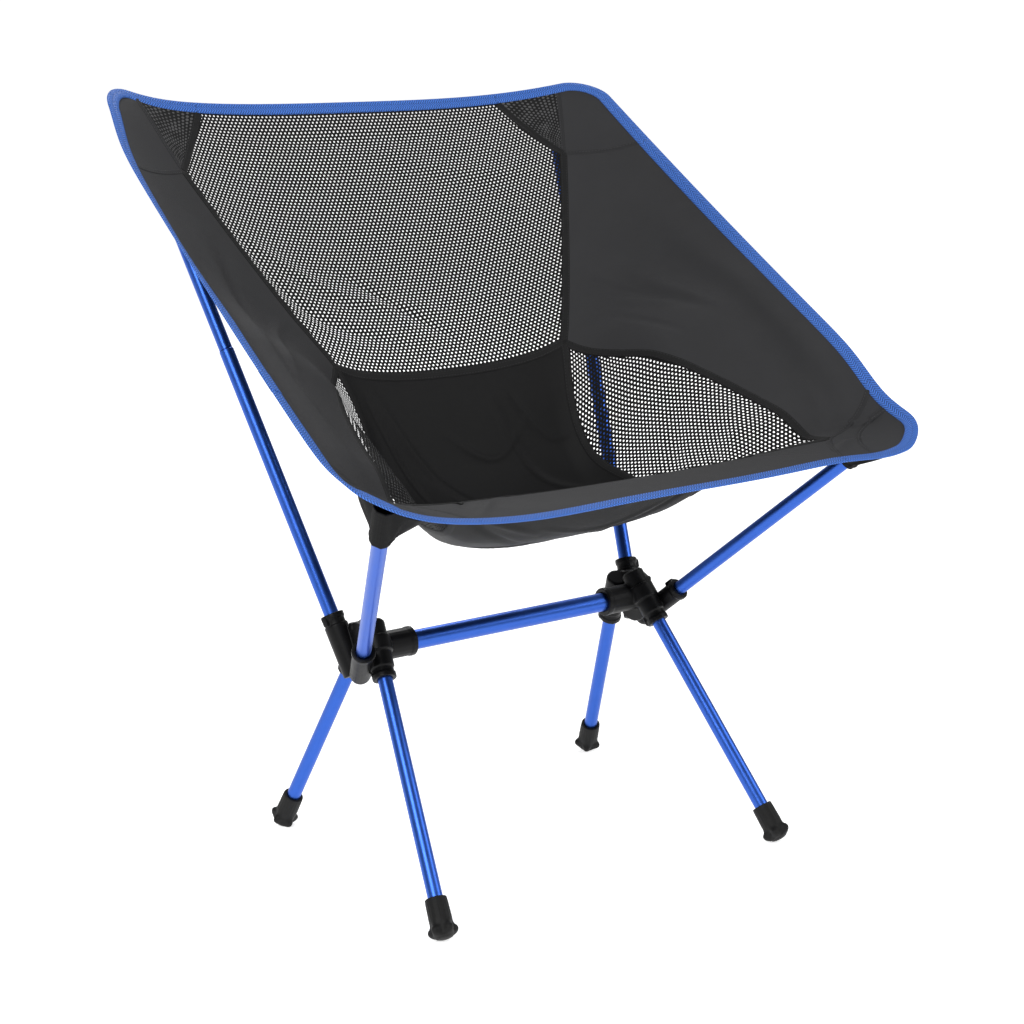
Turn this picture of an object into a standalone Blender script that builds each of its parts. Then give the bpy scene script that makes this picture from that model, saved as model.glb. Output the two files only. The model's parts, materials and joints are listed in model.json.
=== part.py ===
"""Ultralight two-hub camping chair: shock-corded tube frame with a four-corner fabric sling.

Metres, +Z up. The sitter faces -Y, and +X is to the sitter's left. The origin is on the ground
under the middle of the chair's bounding box. Left and right name the sides of the picture of
the chair seen from in front, so *_right is at +X.
"""

import math

import bmesh
import bpy
import numpy as np
from mathutils import Matrix, Vector

# Driving dimensions
TUBE_R = 0.0065
LOWER_POLE_R = 0.0067
UPPER_POLE_R = 0.0061
CROSSBAR_R = 0.0088
TUBE_WALL = 0.0009
CORD_R = 0.0015
GAP = 0.0003
SOCKET_CLEARANCE = 0.0003
SLEEVE_R = 0.0096
LIP_R = 0.0106
LIP_LENGTH = 0.005
CROSS_SLEEVE_R = 0.0128
CROSS_LIP_R = 0.0134
FABRIC = 0.0020
TAPE = 0.0034
TAPE_WIDTH = 0.0075
SEAM_GAP = 0.0010
TAPE_CUT = 0.004
SHIFT_Y = -0.0178

# Centre lines of the +X side's tubes: a point in the hub and the point that the tube runs to.
FRONT_LEG = ((0.1450, -0.0110, 0.2060), (0.1800, -0.1720, 0.0090))
REAR_LEG = ((0.1385, 0.0220, 0.2060), (0.1755, 0.1180, 0.0090))
ARM = ((0.1605, -0.0095, 0.1873), (0.2543, -0.2200, 0.3888))
POLE = ((0.1570, 0.0207, 0.1907), (0.2293, 0.2636, 0.6456))
CROSSBAR_Y, CROSSBAR_Z = -0.0017, 0.2004

# Distances along each centre line: the tube's inner end, the socket's mouth, the socket's closed end.
FRONT_LEG_STOPS = (-0.0125, 0.0325, -0.0220)
REAR_LEG_STOPS = (-0.0020, 0.0430, -0.0110)
ARM_STOPS = (-0.0040, 0.0360, -0.0130)
POLE_STOPS = (-0.0063, 0.0387, -0.0190)
CROSSBAR_END, CROSSBAR_MOUTH, CROSS_SLEEVE_IN = 0.1320, 0.1050, 0.1440
ARM_LENGTH_OUT = 0.2700
POLE_STEP = 0.2940
POLE_LENGTH_OUT = 0.5150

# Foot profile: radius and height above the sole, down the outer side and up the socket.
FOOT_PROFILE = (
    (0.0069, 0.0350), (0.0090, 0.0350), (0.0094, 0.0340), (0.0098, 0.0130), (0.0106, 0.0110),
    (0.0120, 0.0095), (0.0123, 0.0078), (0.0116, 0.0058), (0.0098, 0.0034), (0.0064, 0.0013),
    (0.0000, 0.0000),
)
FOOT_SOCKET_BOTTOM = 0.0090

# Sling: corners of the fabric before rounding, and the profile along the middle of the seat.
FRONT_CORNER = np.array((0.2868, -0.2388, 0.3858))
REAR_CORNER = np.array((0.2764, 0.2583, 0.6752))
EDGE_BOW = np.array((0.0010, 0.0025, -0.0045))
STATIONS = np.array((0.0, 0.13, 0.28, 0.46, 0.59, 0.72, 0.86, 1.0))
MIDDLE = np.array((
    (-0.2422, 0.3680), (-0.1485, 0.3575), (-0.0925, 0.3015), (-0.0085, 0.2912),
    (0.0460, 0.3205), (0.0975, 0.4151), (0.1876, 0.5270), (0.2764, 0.6552),
))
HAMMOCK_POWERS = (3.0, 2.15, 2.15, 3.2)
# Beside the seat the cloth is pulled straight to the side edges: how much higher, and over which u and v.
WALL_RISE = 0.365
WALL_U, WALL_FRONT_V, WALL_REAR_V = (0.33, 0.65), (0.10, 0.36), (0.60, 0.78)
CORNER_U = 0.125
FRONT_CORNER_V, REAR_CORNER_V = 0.170, 0.036

# Seams of the sling in its own coordinates: u across, 0 to 1 at the edge; v from front to top.
BAND_V = 0.13
SEAT_BACK_V = 0.72
FRONT_JUNCTION = (0.76, 0.13)
REAR_JUNCTION = (0.75, 0.92)
SIDE_SEAM = ((0.76, 0.13), (0.735, 0.29), (0.70, 0.43), (0.64, 0.555), (0.54, 0.655), (0.44, 0.72))
SEAT_SEAM = ((0.44, 0.13), (0.43, 0.30), (0.415, 0.46), (0.392, 0.58), (0.397, 0.655), (0.44, 0.72))
BACK_SEAM = ((0.44, 0.72), (0.60, 0.82), (0.75, 0.92))
PATCH_FRONT_U, PATCH_SIDE_V = 0.64, 0.31
REAR_PATCH_V, REAR_PATCH_U = 0.885, 0.60

BLACK = (0.012, 0.012, 0.013, 1.0)


def clear_scene():
    for item in list(bpy.data.objects):
        bpy.data.objects.remove(item)


def collection_named(name):
    made = bpy.data.collections.new(name)
    bpy.context.scene.collection.children.link(made)
    return made


def material(name, colour, roughness, metallic):
    made = bpy.data.materials.new(name)
    made.use_nodes = True
    shader = made.node_tree.nodes["Principled BSDF"]
    shader.inputs["Base Color"].default_value = colour
    shader.inputs["Roughness"].default_value = roughness
    shader.inputs["Metallic"].default_value = metallic
    return made


def placed(point, side):
    """A point of the +X side moved into the finished frame, on the side asked for."""
    return Vector((side * point[0], point[1] + SHIFT_Y, point[2]))


class Line:
    """A tube's centre line: at(t) is the point t metres from its point in the hub."""

    def __init__(self, ends, side):
        self.start = placed(ends[0], side)
        self.direction = (placed(ends[1], side) - self.start).normalized()

    def at(self, distance):
        return self.start + self.direction * distance

    def matrix(self, distance):
        """Places a shape whose +Z is to run along the line, away from the hub."""
        turn = self.direction.to_track_quat("Z", "Y").to_matrix().to_4x4()
        return Matrix.Translation(self.at(distance)) @ turn


def add_object(name, mesh, finish, matrix=None):
    made = bpy.data.objects.new(name, mesh)
    CHAIR.objects.link(made)
    mesh.materials.append(finish)
    if matrix is not None:
        made.matrix_world = matrix
    return made


def shade_round(made):
    made.data.shade_smooth()
    made.data.set_sharp_from_angle(angle=math.radians(40))


def turned(name, profile, finish, matrix, closed=True, steps=20):
    """A profile of (radius, height) spun about Z. A closed one makes a pipe, an open one a knob."""
    mesh = bpy.data.meshes.new(name)
    points = [(radius, 0.0, height) for radius, height in profile]
    edges = [(i, i + 1) for i in range(len(points) - 1)]
    if closed:
        edges.append((len(points) - 1, 0))
    mesh.from_pydata(points, edges, [])
    made = add_object(name, mesh, finish, matrix)
    screw = made.modifiers.new("Turn", "SCREW")
    screw.axis = "Z"
    screw.steps = steps
    screw.render_steps = steps
    screw.use_merge_vertices = True
    screw.merge_threshold = 0.00001
    screw.use_smooth_shade = True
    return made


def pipe(name, line, first, last, outer, finish, inner=None):
    """A tube along a centre line from distance first to distance last."""
    length = last - first
    bore = outer - TUBE_WALL if inner is None else inner
    profile = ((outer, length), (outer, 0.0), (bore, 0.0), (bore, length))
    return turned(name, profile, finish, line.matrix(first))


def cord(name, first, last, finish):
    """A straight stretch of round elastic cord between two points."""
    curve = bpy.data.curves.new(name, "CURVE")
    curve.dimensions = "3D"
    curve.bevel_depth = CORD_R
    curve.bevel_resolution = 2
    curve.use_fill_caps = True
    spline = curve.splines.new("POLY")
    spline.points.add(1)
    for point, place in zip(spline.points, (first, last)):
        point.co = (*place, 1.0)
    made = bpy.data.objects.new(name, curve)
    CHAIR.objects.link(made)
    curve.materials.append(finish)
    return made


def cylinder_tool(name, matrix, radius, first, last, segments=20):
    """A helper cylinder along its own Z, hidden, for joining to or cutting from a part."""
    mesh = bpy.data.meshes.new(name)
    shape = bmesh.new()
    bmesh.ops.create_cone(
        shape, cap_ends=True, segments=segments, radius1=radius, radius2=radius, depth=last - first
    )
    bmesh.ops.translate(shape, verts=shape.verts, vec=(0, 0, (first + last) / 2))
    shape.to_mesh(mesh)
    shape.free()
    return helper(name, mesh, matrix)


def ball_tool(name, centre, radius):
    mesh = bpy.data.meshes.new(name)
    shape = bmesh.new()
    bmesh.ops.create_uvsphere(shape, u_segments=20, v_segments=10, radius=radius)
    shape.to_mesh(mesh)
    shape.free()
    return helper(name, mesh, Matrix.Translation(centre))


def helper(name, mesh, matrix):
    made = bpy.data.objects.new(name, mesh)
    HELPERS.objects.link(made)
    made.matrix_world = matrix
    made.hide_render = True
    made.display_type = "WIRE"
    return made


def boolean(target, tool, operation):
    modifier = target.modifiers.new(tool.name, "BOOLEAN")
    modifier.operation = operation
    modifier.object = tool
    modifier.solver = "EXACT"


# Frame


def make_hub(side, name):
    """One moulded hub: a round web with five sockets, two for legs, two for poles, one crossbar."""
    cross = Matrix.Translation(placed((0, CROSSBAR_Y, CROSSBAR_Z), 1)) @ Matrix.Rotation(
        side * math.pi / 2, 4, "Y"
    )
    web = bpy.data.meshes.new(name)
    shape = bmesh.new()
    bmesh.ops.create_cone(
        shape, cap_ends=True, segments=32, radius1=0.0245, radius2=0.0245, depth=0.011
    )
    web_place = placed((0.1495, 0.0050, 0.1985), side)
    bmesh.ops.rotate(shape, verts=shape.verts, matrix=Matrix.Rotation(math.pi / 2, 3, "Y"))
    shape.to_mesh(web)
    shape.free()
    hub = add_object(name, web, PLASTIC, Matrix.Translation(web_place))
    sockets = (
        ("front_leg", FRONT_LEG, FRONT_LEG_STOPS, TUBE_R),
        ("rear_leg", REAR_LEG, REAR_LEG_STOPS, TUBE_R),
        ("arm", ARM, ARM_STOPS, TUBE_R),
        ("pole", POLE, POLE_STOPS, LOWER_POLE_R),
    )
    for label, ends, (inner, mouth, closed), tube_radius in sockets:
        line = Line(ends, side)
        here = line.matrix(0)
        sleeve = cylinder_tool(f"{name}_{label}_sleeve", here, SLEEVE_R, closed, mouth - 0.001)
        boolean(hub, sleeve, "UNION")
        lip = cylinder_tool(f"{name}_{label}_lip", here, LIP_R, mouth - LIP_LENGTH, mouth)
        boolean(hub, lip, "UNION")
    arm_end = Line(ARM, side).at(ARM_STOPS[2])
    boolean(hub, ball_tool(f"{name}_arm_cup", arm_end, SLEEVE_R), "UNION")
    sleeve = cylinder_tool(
        f"{name}_cross_sleeve", cross, CROSS_SLEEVE_R, CROSSBAR_MOUTH + 0.001, CROSS_SLEEVE_IN
    )
    boolean(hub, sleeve, "UNION")
    lip = cylinder_tool(
        f"{name}_cross_lip", cross, CROSS_LIP_R, CROSSBAR_MOUTH, CROSSBAR_MOUTH + LIP_LENGTH
    )
    boolean(hub, lip, "UNION")
    for label, ends, (inner, mouth, closed), tube_radius in sockets:
        bore = cylinder_tool(
            f"{name}_{label}_bore", Line(ends, side).matrix(0), tube_radius + SOCKET_CLEARANCE,
            inner - GAP, mouth + 0.010,
        )
        boolean(hub, bore, "DIFFERENCE")
    bore = cylinder_tool(
        f"{name}_cross_bore", cross, CROSSBAR_R + SOCKET_CLEARANCE,
        CROSSBAR_MOUTH - 0.010, CROSSBAR_END + GAP,
    )
    boolean(hub, bore, "DIFFERENCE")


def sole_distance(line):
    """Where the foot's sole lies on a leg's line, for the tilted foot's lowest point to be at z = 0."""
    down = -line.direction.z
    across = math.sqrt(1 - down * down)
    reach = max(radius * across - height * down for radius, height in FOOT_PROFILE)
    return (line.start.z - reach) / down


def make_leg(label, ends, stops, side, name):
    """A leg tube, the plug that anchors its cord, its rubber foot and its cord."""
    line = Line(ends, side)
    sole = sole_distance(line)
    tube_end = sole - FOOT_SOCKET_BOTTOM - GAP
    pipe(f"{label}_tube_{name}", line, stops[0], tube_end, TUBE_R, ANODISED)
    plug_r = TUBE_R - TUBE_WALL - GAP
    plug = ((0.0, 0.010), (plug_r - 0.001, 0.010), (plug_r, 0.009), (plug_r, 0.0), (0.0, 0.0))
    turned(f"{label}_plug_{name}", plug, PLASTIC, line.matrix(tube_end - 0.010), closed=False)
    foot_matrix = line.matrix(sole) @ Matrix.Rotation(math.pi, 4, "X")
    socket = ((0.0, FOOT_SOCKET_BOTTOM), (TUBE_R + GAP, FOOT_SOCKET_BOTTOM))
    turned(f"{label}_foot_{name}", socket + FOOT_PROFILE, RUBBER, foot_matrix, closed=False)
    cord(f"{label}_cord_{name}", line.at(stops[0]), line.at(tube_end - 0.010 - GAP), ELASTIC)


def make_tip(name, line, distance, radius):
    """A domed end cap whose shank sits inside the tube's end."""
    shank = radius - TUBE_WALL - GAP
    profile = (
        (0.0, 0.0042), (0.0030, 0.0038), (0.0050, 0.0026), (radius, 0.0008), (radius, GAP),
        (shank, GAP), (shank, -0.010), (0.0, -0.010),
    )
    turned(name, profile, PLASTIC, line.matrix(distance), closed=False)


def make_arm(side, name):
    line = Line(ARM, side)
    pipe(f"front_arm_{name}", line, ARM_STOPS[0], ARM_LENGTH_OUT, TUBE_R, ANODISED)
    make_tip(f"front_arm_tip_{name}", line, ARM_LENGTH_OUT, TUBE_R)
    cord(f"front_arm_cord_{name}", line.at(ARM_STOPS[0]), line.at(ARM_LENGTH_OUT - 0.0105), ELASTIC)


def make_pole(side, name):
    """A rear pole in two tubes, joined by a ferrule that is fixed in the upper one."""
    line = Line(POLE, side)
    pipe(f"rear_pole_lower_{name}", line, POLE_STOPS[0], POLE_STEP, LOWER_POLE_R, ANODISED)
    pipe(f"rear_pole_upper_{name}", line, POLE_STEP + GAP, POLE_LENGTH_OUT, UPPER_POLE_R, ANODISED)
    ferrule = UPPER_POLE_R - TUBE_WALL - GAP
    pipe(f"rear_pole_ferrule_{name}", line, POLE_STEP - 0.045, POLE_STEP + 0.030, ferrule,
         ALUMINIUM, inner=ferrule - 0.0012)
    make_tip(f"rear_pole_tip_{name}", line, POLE_LENGTH_OUT, UPPER_POLE_R)
    cord(f"rear_pole_cord_{name}", line.at(POLE_STOPS[0]), line.at(POLE_LENGTH_OUT - 0.0105), ELASTIC)


def make_crossbar():
    middle = placed((0, CROSSBAR_Y, CROSSBAR_Z), 1)
    matrix = Matrix.Translation(middle) @ Matrix.Rotation(math.pi / 2, 4, "Y")
    outer, bore, half = CROSSBAR_R, CROSSBAR_R - TUBE_WALL, CROSSBAR_END
    turned("crossbar", ((outer, half), (outer, -half), (bore, -half), (bore, half)), ANODISED, matrix)
    ends = [placed((side * (CROSSBAR_END - GAP), CROSSBAR_Y, CROSSBAR_Z), 1) for side in (-1, 1)]
    cord("crossbar_cord", *ends, ELASTIC)


# Sling


def middle_line(v):
    """(y, z) along the middle of the sling: a cubic through the stations, smooth at each."""
    span = np.diff(STATIONS)[:, None]
    slope = np.diff(MIDDLE, axis=0) / span
    tangent = np.empty_like(MIDDLE)
    tangent[1:-1] = (slope[:-1] * span[1:] + slope[1:] * span[:-1]) / (span[1:] + span[:-1])
    tangent[0] = 2 * slope[0] - tangent[1]
    tangent[-1] = 2 * slope[-1] - tangent[-2]
    i = np.clip(np.searchsorted(STATIONS, v, side="right") - 1, 0, len(STATIONS) - 2)
    width = (STATIONS[i + 1] - STATIONS[i])[..., None]
    t = (v - STATIONS[i])[..., None] / width
    first = MIDDLE[i] * (2 * t**3 - 3 * t**2 + 1) + tangent[i] * width * (t**3 - 2 * t**2 + t)
    last = MIDDLE[i + 1] * (3 * t**2 - 2 * t**3) + tangent[i + 1] * width * (t**3 - t**2)
    return first + last


def edge_line(v):
    """The sling's +X side edge, from the front corner to the rear corner, bowed a little."""
    along = (v * (0.23 + 0.77 * v))[..., None]
    return FRONT_CORNER + (REAR_CORNER - FRONT_CORNER) * along + EDGE_BOW * 4 * along * (1 - along)


def eased(ends, value):
    """0 before the first end and 1 after the second, with a smooth cubic step between them."""
    share = np.clip((value - ends[0]) / (ends[1] - ends[0]), 0, 1)
    return share * share * (3 - 2 * share)


def sling(uv):
    """The fabric's middle surface: x grows evenly to the edge, and the rise is a power of u plus the walls."""
    u, v = uv[..., 0], uv[..., 1]
    edge, middle = edge_line(v), middle_line(v)
    a, b, c, d = HAMMOCK_POWERS
    power = a * (1 - v) ** 3 + 3 * b * v * (1 - v) ** 2 + 3 * c * v * v * (1 - v) + d * v**3
    beside_seat = eased(WALL_FRONT_V, v) * (1 - eased(WALL_REAR_V, v))
    wall = WALL_RISE * (1 - u**4) * eased(WALL_U, np.abs(u)) * beside_seat
    rise = (np.abs(u) ** power + wall)[..., None]
    across = (edge[..., 0] * u)[..., None]
    return np.concatenate([across, middle + (edge[..., 1:] - middle) * rise], axis=-1)


def outline(k):
    """(u, v) round the sling: front 0-1, corner 1-2, +X side 2-3, corner 3-4, top 4-5.

    Under 0 and over 5 it goes on round the -X half, as the mirror image.
    """
    k = np.asarray(k, float)
    side = np.where((k < 0) | (k > 5), -1, 1)
    k = np.where(k > 5, 10 - k, np.abs(k))
    turn = np.pi / 2 * np.mod(k, 1.0)
    flat_u = 1 - CORNER_U
    last_v = 1 - REAR_CORNER_V
    pieces = (
        (flat_u * k, 0 * k),
        (flat_u + CORNER_U * np.sin(turn), FRONT_CORNER_V * (1 - np.cos(turn))),
        (1 + 0 * k, FRONT_CORNER_V + (k - 2) * (last_v - FRONT_CORNER_V)),
        (flat_u + CORNER_U * np.cos(turn), last_v + REAR_CORNER_V * np.sin(turn)),
        (flat_u * (5 - k), 1 + 0 * k),
    )
    part = np.clip(np.floor(k).astype(int), 0, 4)
    u = np.choose(part, [piece[0] for piece in pieces])
    v = np.choose(part, [piece[1] for piece in pieces])
    return np.stack([side * u, v], axis=-1)


def inset(uv, distance):
    """Moves points of a line round the sling inwards, along the fabric, by a distance in metres."""
    step = 1e-4
    along_u = (sling(uv + (step, 0)) - sling(uv - (step, 0))) / (2 * step)
    along_v = (sling(uv + (0, step)) - sling(uv - (0, step))) / (2 * step)
    tangent = np.gradient(sling(uv), axis=0)
    inward = np.cross(np.cross(along_u, along_v), tangent)
    inward /= np.linalg.norm(inward, axis=-1, keepdims=True)
    e, f, g = (along_u**2).sum(-1), (along_u * along_v).sum(-1), (along_v**2).sum(-1)
    p, q = (inward * along_u).sum(-1), (inward * along_v).sum(-1)
    shift = np.stack([p * g - q * f, q * e - p * f], axis=-1) / (e * g - f * f)[..., None]
    return uv + shift * distance


def resampled(points, count, first=0.0, last=1.0):
    """Evenly spaced points along a line of straight stretches in (u, v)."""
    points = np.asarray(points, float)
    lengths = np.linalg.norm(np.diff(points, axis=0), axis=1)
    reach = np.concatenate([[0], np.cumsum(lengths)]) / lengths.sum()
    wanted = np.linspace(first, last, count)
    return np.stack([np.interp(wanted, reach, points[:, i]) for i in (0, 1)], axis=-1)


def between(first, last, rows):
    """A grid in (u, v) between two lines with equally many points."""
    share = np.linspace(0, 1, rows)[:, None, None]
    return first[None] * (1 - share) + last[None] * share


def filled(south, north, west, east):
    """A grid in (u, v) that meets four boundary lines: both ruled grids less the bilinear one."""
    across = between(south, north, len(west))
    along = between(west, east, len(south)).swapaxes(0, 1)
    corners = between(resampled(south[[0, -1]], len(south)), resampled(north[[0, -1]], len(south)),
                      len(west))
    return across + along - corners


def drawn_in(grid, distance):
    """A grid in (u, v) shrunk about its middle, so that its edges move in by about a distance."""
    middle = grid.reshape(-1, 2).mean(axis=0)
    points = sling(grid)
    reach = np.linalg.norm(points - points.reshape(-1, 3).mean(axis=0), axis=-1).max()
    return middle + (grid - middle) * (1 - distance * 1.6 / reach)


def fabric_piece(name, grid, finish, thickness, side=1):
    """A grid in (u, v) made into a sheet of the given thickness."""
    points = sling(grid)
    rows, columns = grid.shape[:2]
    points = points.reshape(-1, 3) * (side, 1, 1) + (0, SHIFT_Y, 0)
    index = np.arange(rows * columns).reshape(rows, columns)
    faces = np.stack(
        [index[:-1, :-1], index[:-1, 1:], index[1:, 1:], index[1:, :-1]], axis=-1
    ).reshape(-1, 4)
    mesh = bpy.data.meshes.new(name)
    mesh.from_pydata(points.tolist(), [], faces.tolist())
    made = add_object(name, mesh, finish)
    wall = made.modifiers.new("Thickness", "SOLIDIFY")
    wall.thickness = thickness
    wall.offset = 0.0
    return made


def side_station(v):
    """The outline's k at the height v of the straight side."""
    return 2 + (v - FRONT_CORNER_V) / (1 - REAR_CORNER_V - FRONT_CORNER_V)


FRONT_PATCH_K = (PATCH_FRONT_U / (1 - CORNER_U), side_station(PATCH_SIDE_V))
REAR_PATCH_K = (side_station(REAR_PATCH_V), 5 - REAR_PATCH_U / (1 - CORNER_U))
INNER_EDGE = TAPE_WIDTH + SEAM_GAP


def seam_end(station, junction):
    """The point of the seam from a station of the outline to a junction that lies inside the tape."""
    end = outline(station)
    length = np.linalg.norm(sling(end) - sling(np.array(junction)))
    return end + (junction - end) * INNER_EDGE / length


def edge_run(first, last, count, first_junction=None, last_junction=None):
    """A stretch of the outline, set in past the tape, whose ends lie on the seams to the junctions."""
    run = resampled(inset(outline(np.linspace(first, last, 61)), INNER_EDGE), count)
    if first_junction is not None:
        run[0] = seam_end(first, first_junction)
    if last_junction is not None:
        run[-1] = seam_end(last, last_junction)
    return run


def make_middle_panels():
    """The panels that cross the chair: seat, mesh back and front band."""
    left = np.concatenate([resampled(SEAT_SEAM, 12, 0.0, 0.95), SEAT_SEAM[-1:]]) * (-1, 1)
    fabric_piece("seat_panel", drawn_in(between(left, left * (-1, 1), 11), SEAM_GAP), CANVAS, FABRIC)
    top = edge_run(REAR_PATCH_K[1], 5, 2)[-1, 1]
    seam = np.array(BACK_SEAM + ((REAR_PATCH_U, 1.0),))
    heights = np.append(np.linspace(SEAT_BACK_V, REAR_JUNCTION[1], 7), np.linspace(0.94, top, 3))
    right = np.stack([np.interp(heights, seam[:, 1], seam[:, 0]), heights], -1)
    fabric_piece("back_mesh", drawn_in(between(right * (-1, 1), right, 13), SEAM_GAP), MESH, FABRIC)
    mirrored = np.array(FRONT_JUNCTION) * (-1, 1)
    front = edge_run(-FRONT_PATCH_K[0], FRONT_PATCH_K[0], 17, mirrored, FRONT_JUNCTION)
    back = resampled((mirrored, FRONT_JUNCTION), 17)
    fabric_piece("front_band", drawn_in(between(front, back, 5), SEAM_GAP), POLYESTER, FABRIC)


def make_side_panels(side, name):
    """The panels of one side: the solid side panel and the mesh triangle beside the seat."""
    shared = resampled(SIDE_SEAM, 13)
    back = resampled(BACK_SEAM, 6)
    seam = np.concatenate([inset(shared, -SEAM_GAP), back[1:]])
    edge = edge_run(FRONT_PATCH_K[1], REAR_PATCH_K[0], 18, FRONT_JUNCTION, REAR_JUNCTION)
    panel = drawn_in(between(seam, edge, 6), SEAM_GAP)
    fabric_piece(f"side_panel_{name}", panel, POLYESTER, FABRIC, side)
    seat = resampled(SEAT_SEAM, 12, 0.0, 0.95)
    mesh = drawn_in(between(seat, inset(shared, SEAM_GAP)[:-1], 5), SEAM_GAP)
    fabric_piece(f"side_mesh_{name}", mesh, MESH, FABRIC, side)


def make_corner(label, junction, stations, side, name):
    """A corner patch and the binding tape round it, which leave the frame together."""
    first, last = stations
    middle = round(first) + 0.5
    near_run = edge_run(first, middle, 7, first_junction=junction)
    far_run = edge_run(middle, last, 7, last_junction=junction)[::-1]
    west = resampled((junction, far_run[0]), 7)
    south = resampled((junction, near_run[0]), 7)
    patch = drawn_in(filled(south, far_run, west, near_run), SEAM_GAP)
    fabric_piece(f"{label}_patch_{name}", patch, POLYESTER, FABRIC, side)
    tape_run(f"{label}_binding_{name}", first + TAPE_CUT, last - TAPE_CUT, 18, side)


def tape_run(name, first, last, count, side=1):
    """A stretch of the blue tape that binds the sling's edge."""
    line = outline(np.linspace(first, last, count))
    fabric_piece(name, between(line, inset(line, TAPE_WIDTH), 2), BINDING, TAPE, side)


def make_binding():
    """The four straight runs of the tape."""
    front, side_start = FRONT_PATCH_K
    side_end, top = REAR_PATCH_K
    tape_run("binding_front", -front, front, 17)
    tape_run("binding_top", top, 10 - top, 17)
    for side, name in SIDES:
        tape_run(f"binding_side_{name}", side_start, side_end, 16, side)


def make_pocket(label, ends, tip, depth, side, name):
    """A sewn pouch, closed over the tube's tip, whose mouth faces down the tube."""
    line = Line(ends, side)
    inner, outer = TUBE_R + 0.0006, TUBE_R + 0.0022
    profile = (
        (0.0, depth + 0.0066), (outer - 0.0035, depth + 0.0058), (outer, depth + 0.0020),
        (outer, 0.0), (inner, 0.0), (inner, depth + 0.0020), (0.0040, depth + 0.0047),
        (0.0, depth + 0.0050),
    )
    turned(f"{label}_pocket_{name}", profile, POLYESTER, line.matrix(tip - depth), closed=False)


clear_scene()
CHAIR = collection_named("ultralight_camp_chair")
HELPERS = collection_named("helpers")
ANODISED = material("blue_anodised_tube", (0.02, 0.10, 0.62, 1.0), 0.28, 0.9)
ALUMINIUM = material("bare_aluminium", (0.75, 0.75, 0.77, 1.0), 0.35, 1.0)
PLASTIC = material("hub_plastic", BLACK, 0.45, 0.0)
RUBBER = material("foot_rubber", BLACK, 0.7, 0.0)
ELASTIC = material("shock_cord", (0.03, 0.03, 0.03, 1.0), 0.9, 0.0)
POLYESTER = material("side_polyester", (0.035, 0.035, 0.038, 1.0), 0.8, 0.0)
CANVAS = material("seat_polyester", (0.016, 0.016, 0.017, 1.0), 0.75, 0.0)
MESH = material("mesh_fabric", (0.02, 0.02, 0.02, 1.0), 0.8, 0.0)
BINDING = material("binding_tape", (0.03, 0.13, 0.62, 1.0), 0.7, 0.0)
SIDES = ((-1, "left"), (1, "right"))

make_crossbar()
make_middle_panels()
make_binding()
for SIDE, SIDE_NAME in SIDES:
    make_hub(SIDE, f"hub_{SIDE_NAME}")
    make_leg("front_leg", FRONT_LEG, FRONT_LEG_STOPS, SIDE, SIDE_NAME)
    make_leg("rear_leg", REAR_LEG, REAR_LEG_STOPS, SIDE, SIDE_NAME)
    make_arm(SIDE, SIDE_NAME)
    make_pole(SIDE, SIDE_NAME)
    make_side_panels(SIDE, SIDE_NAME)
    make_corner("front", FRONT_JUNCTION, FRONT_PATCH_K, SIDE, SIDE_NAME)
    make_corner("rear", REAR_JUNCTION, REAR_PATCH_K, SIDE, SIDE_NAME)
    make_pocket("front", ARM, ARM_LENGTH_OUT, 0.034, SIDE, SIDE_NAME)
    make_pocket("rear", POLE, POLE_LENGTH_OUT, 0.034, SIDE, SIDE_NAME)
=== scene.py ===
"""Ultralight camp chair: a blue shock-corded tube frame and a black sling of fabric and net.

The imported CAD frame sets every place. This script makes the fine surfaces over it: the sewn
sling with its folds, net, seams and edge tape, the corner pockets, the tubes, hubs and feet.
"""
import json
import math

import bmesh
import bpy
import numpy as np
from bpy.props import FloatProperty, FloatVectorProperty, PointerProperty
from bpy.types import Operator, Panel, PropertyGroup
from mathutils import Matrix, Vector

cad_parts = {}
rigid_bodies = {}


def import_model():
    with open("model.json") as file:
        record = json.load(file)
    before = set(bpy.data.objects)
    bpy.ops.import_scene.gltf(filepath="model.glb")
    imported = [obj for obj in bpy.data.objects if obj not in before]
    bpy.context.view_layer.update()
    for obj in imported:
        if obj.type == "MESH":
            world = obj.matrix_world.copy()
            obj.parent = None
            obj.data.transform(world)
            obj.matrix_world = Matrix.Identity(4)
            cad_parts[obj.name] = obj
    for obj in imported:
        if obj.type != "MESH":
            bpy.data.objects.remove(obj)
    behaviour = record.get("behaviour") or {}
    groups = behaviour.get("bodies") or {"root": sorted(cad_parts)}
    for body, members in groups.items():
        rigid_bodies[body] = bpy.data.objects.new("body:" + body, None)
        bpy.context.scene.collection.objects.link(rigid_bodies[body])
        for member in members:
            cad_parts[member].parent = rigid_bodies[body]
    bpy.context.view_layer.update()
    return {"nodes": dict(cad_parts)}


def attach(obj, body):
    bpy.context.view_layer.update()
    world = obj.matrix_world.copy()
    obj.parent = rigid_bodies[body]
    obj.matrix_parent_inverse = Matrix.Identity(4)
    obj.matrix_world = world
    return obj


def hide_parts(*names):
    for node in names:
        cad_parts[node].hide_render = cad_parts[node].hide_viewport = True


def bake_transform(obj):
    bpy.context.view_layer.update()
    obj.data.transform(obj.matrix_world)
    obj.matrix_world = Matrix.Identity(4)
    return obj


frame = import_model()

bl_info = {
    "name": "Camp chair",
    "version": (1, 0, 0),
    "blender": (4, 5, 0),
    "location": "3D View > Sidebar > Chair",
    "description": "Builds the sling, tubes, hubs and feet of a packable camp chair over its CAD frame",
    "category": "Object",
}

ROOT = "frame_and_sling"
SIDES = ((-1, "left"), (1, "right"))
MM = 0.001

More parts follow.
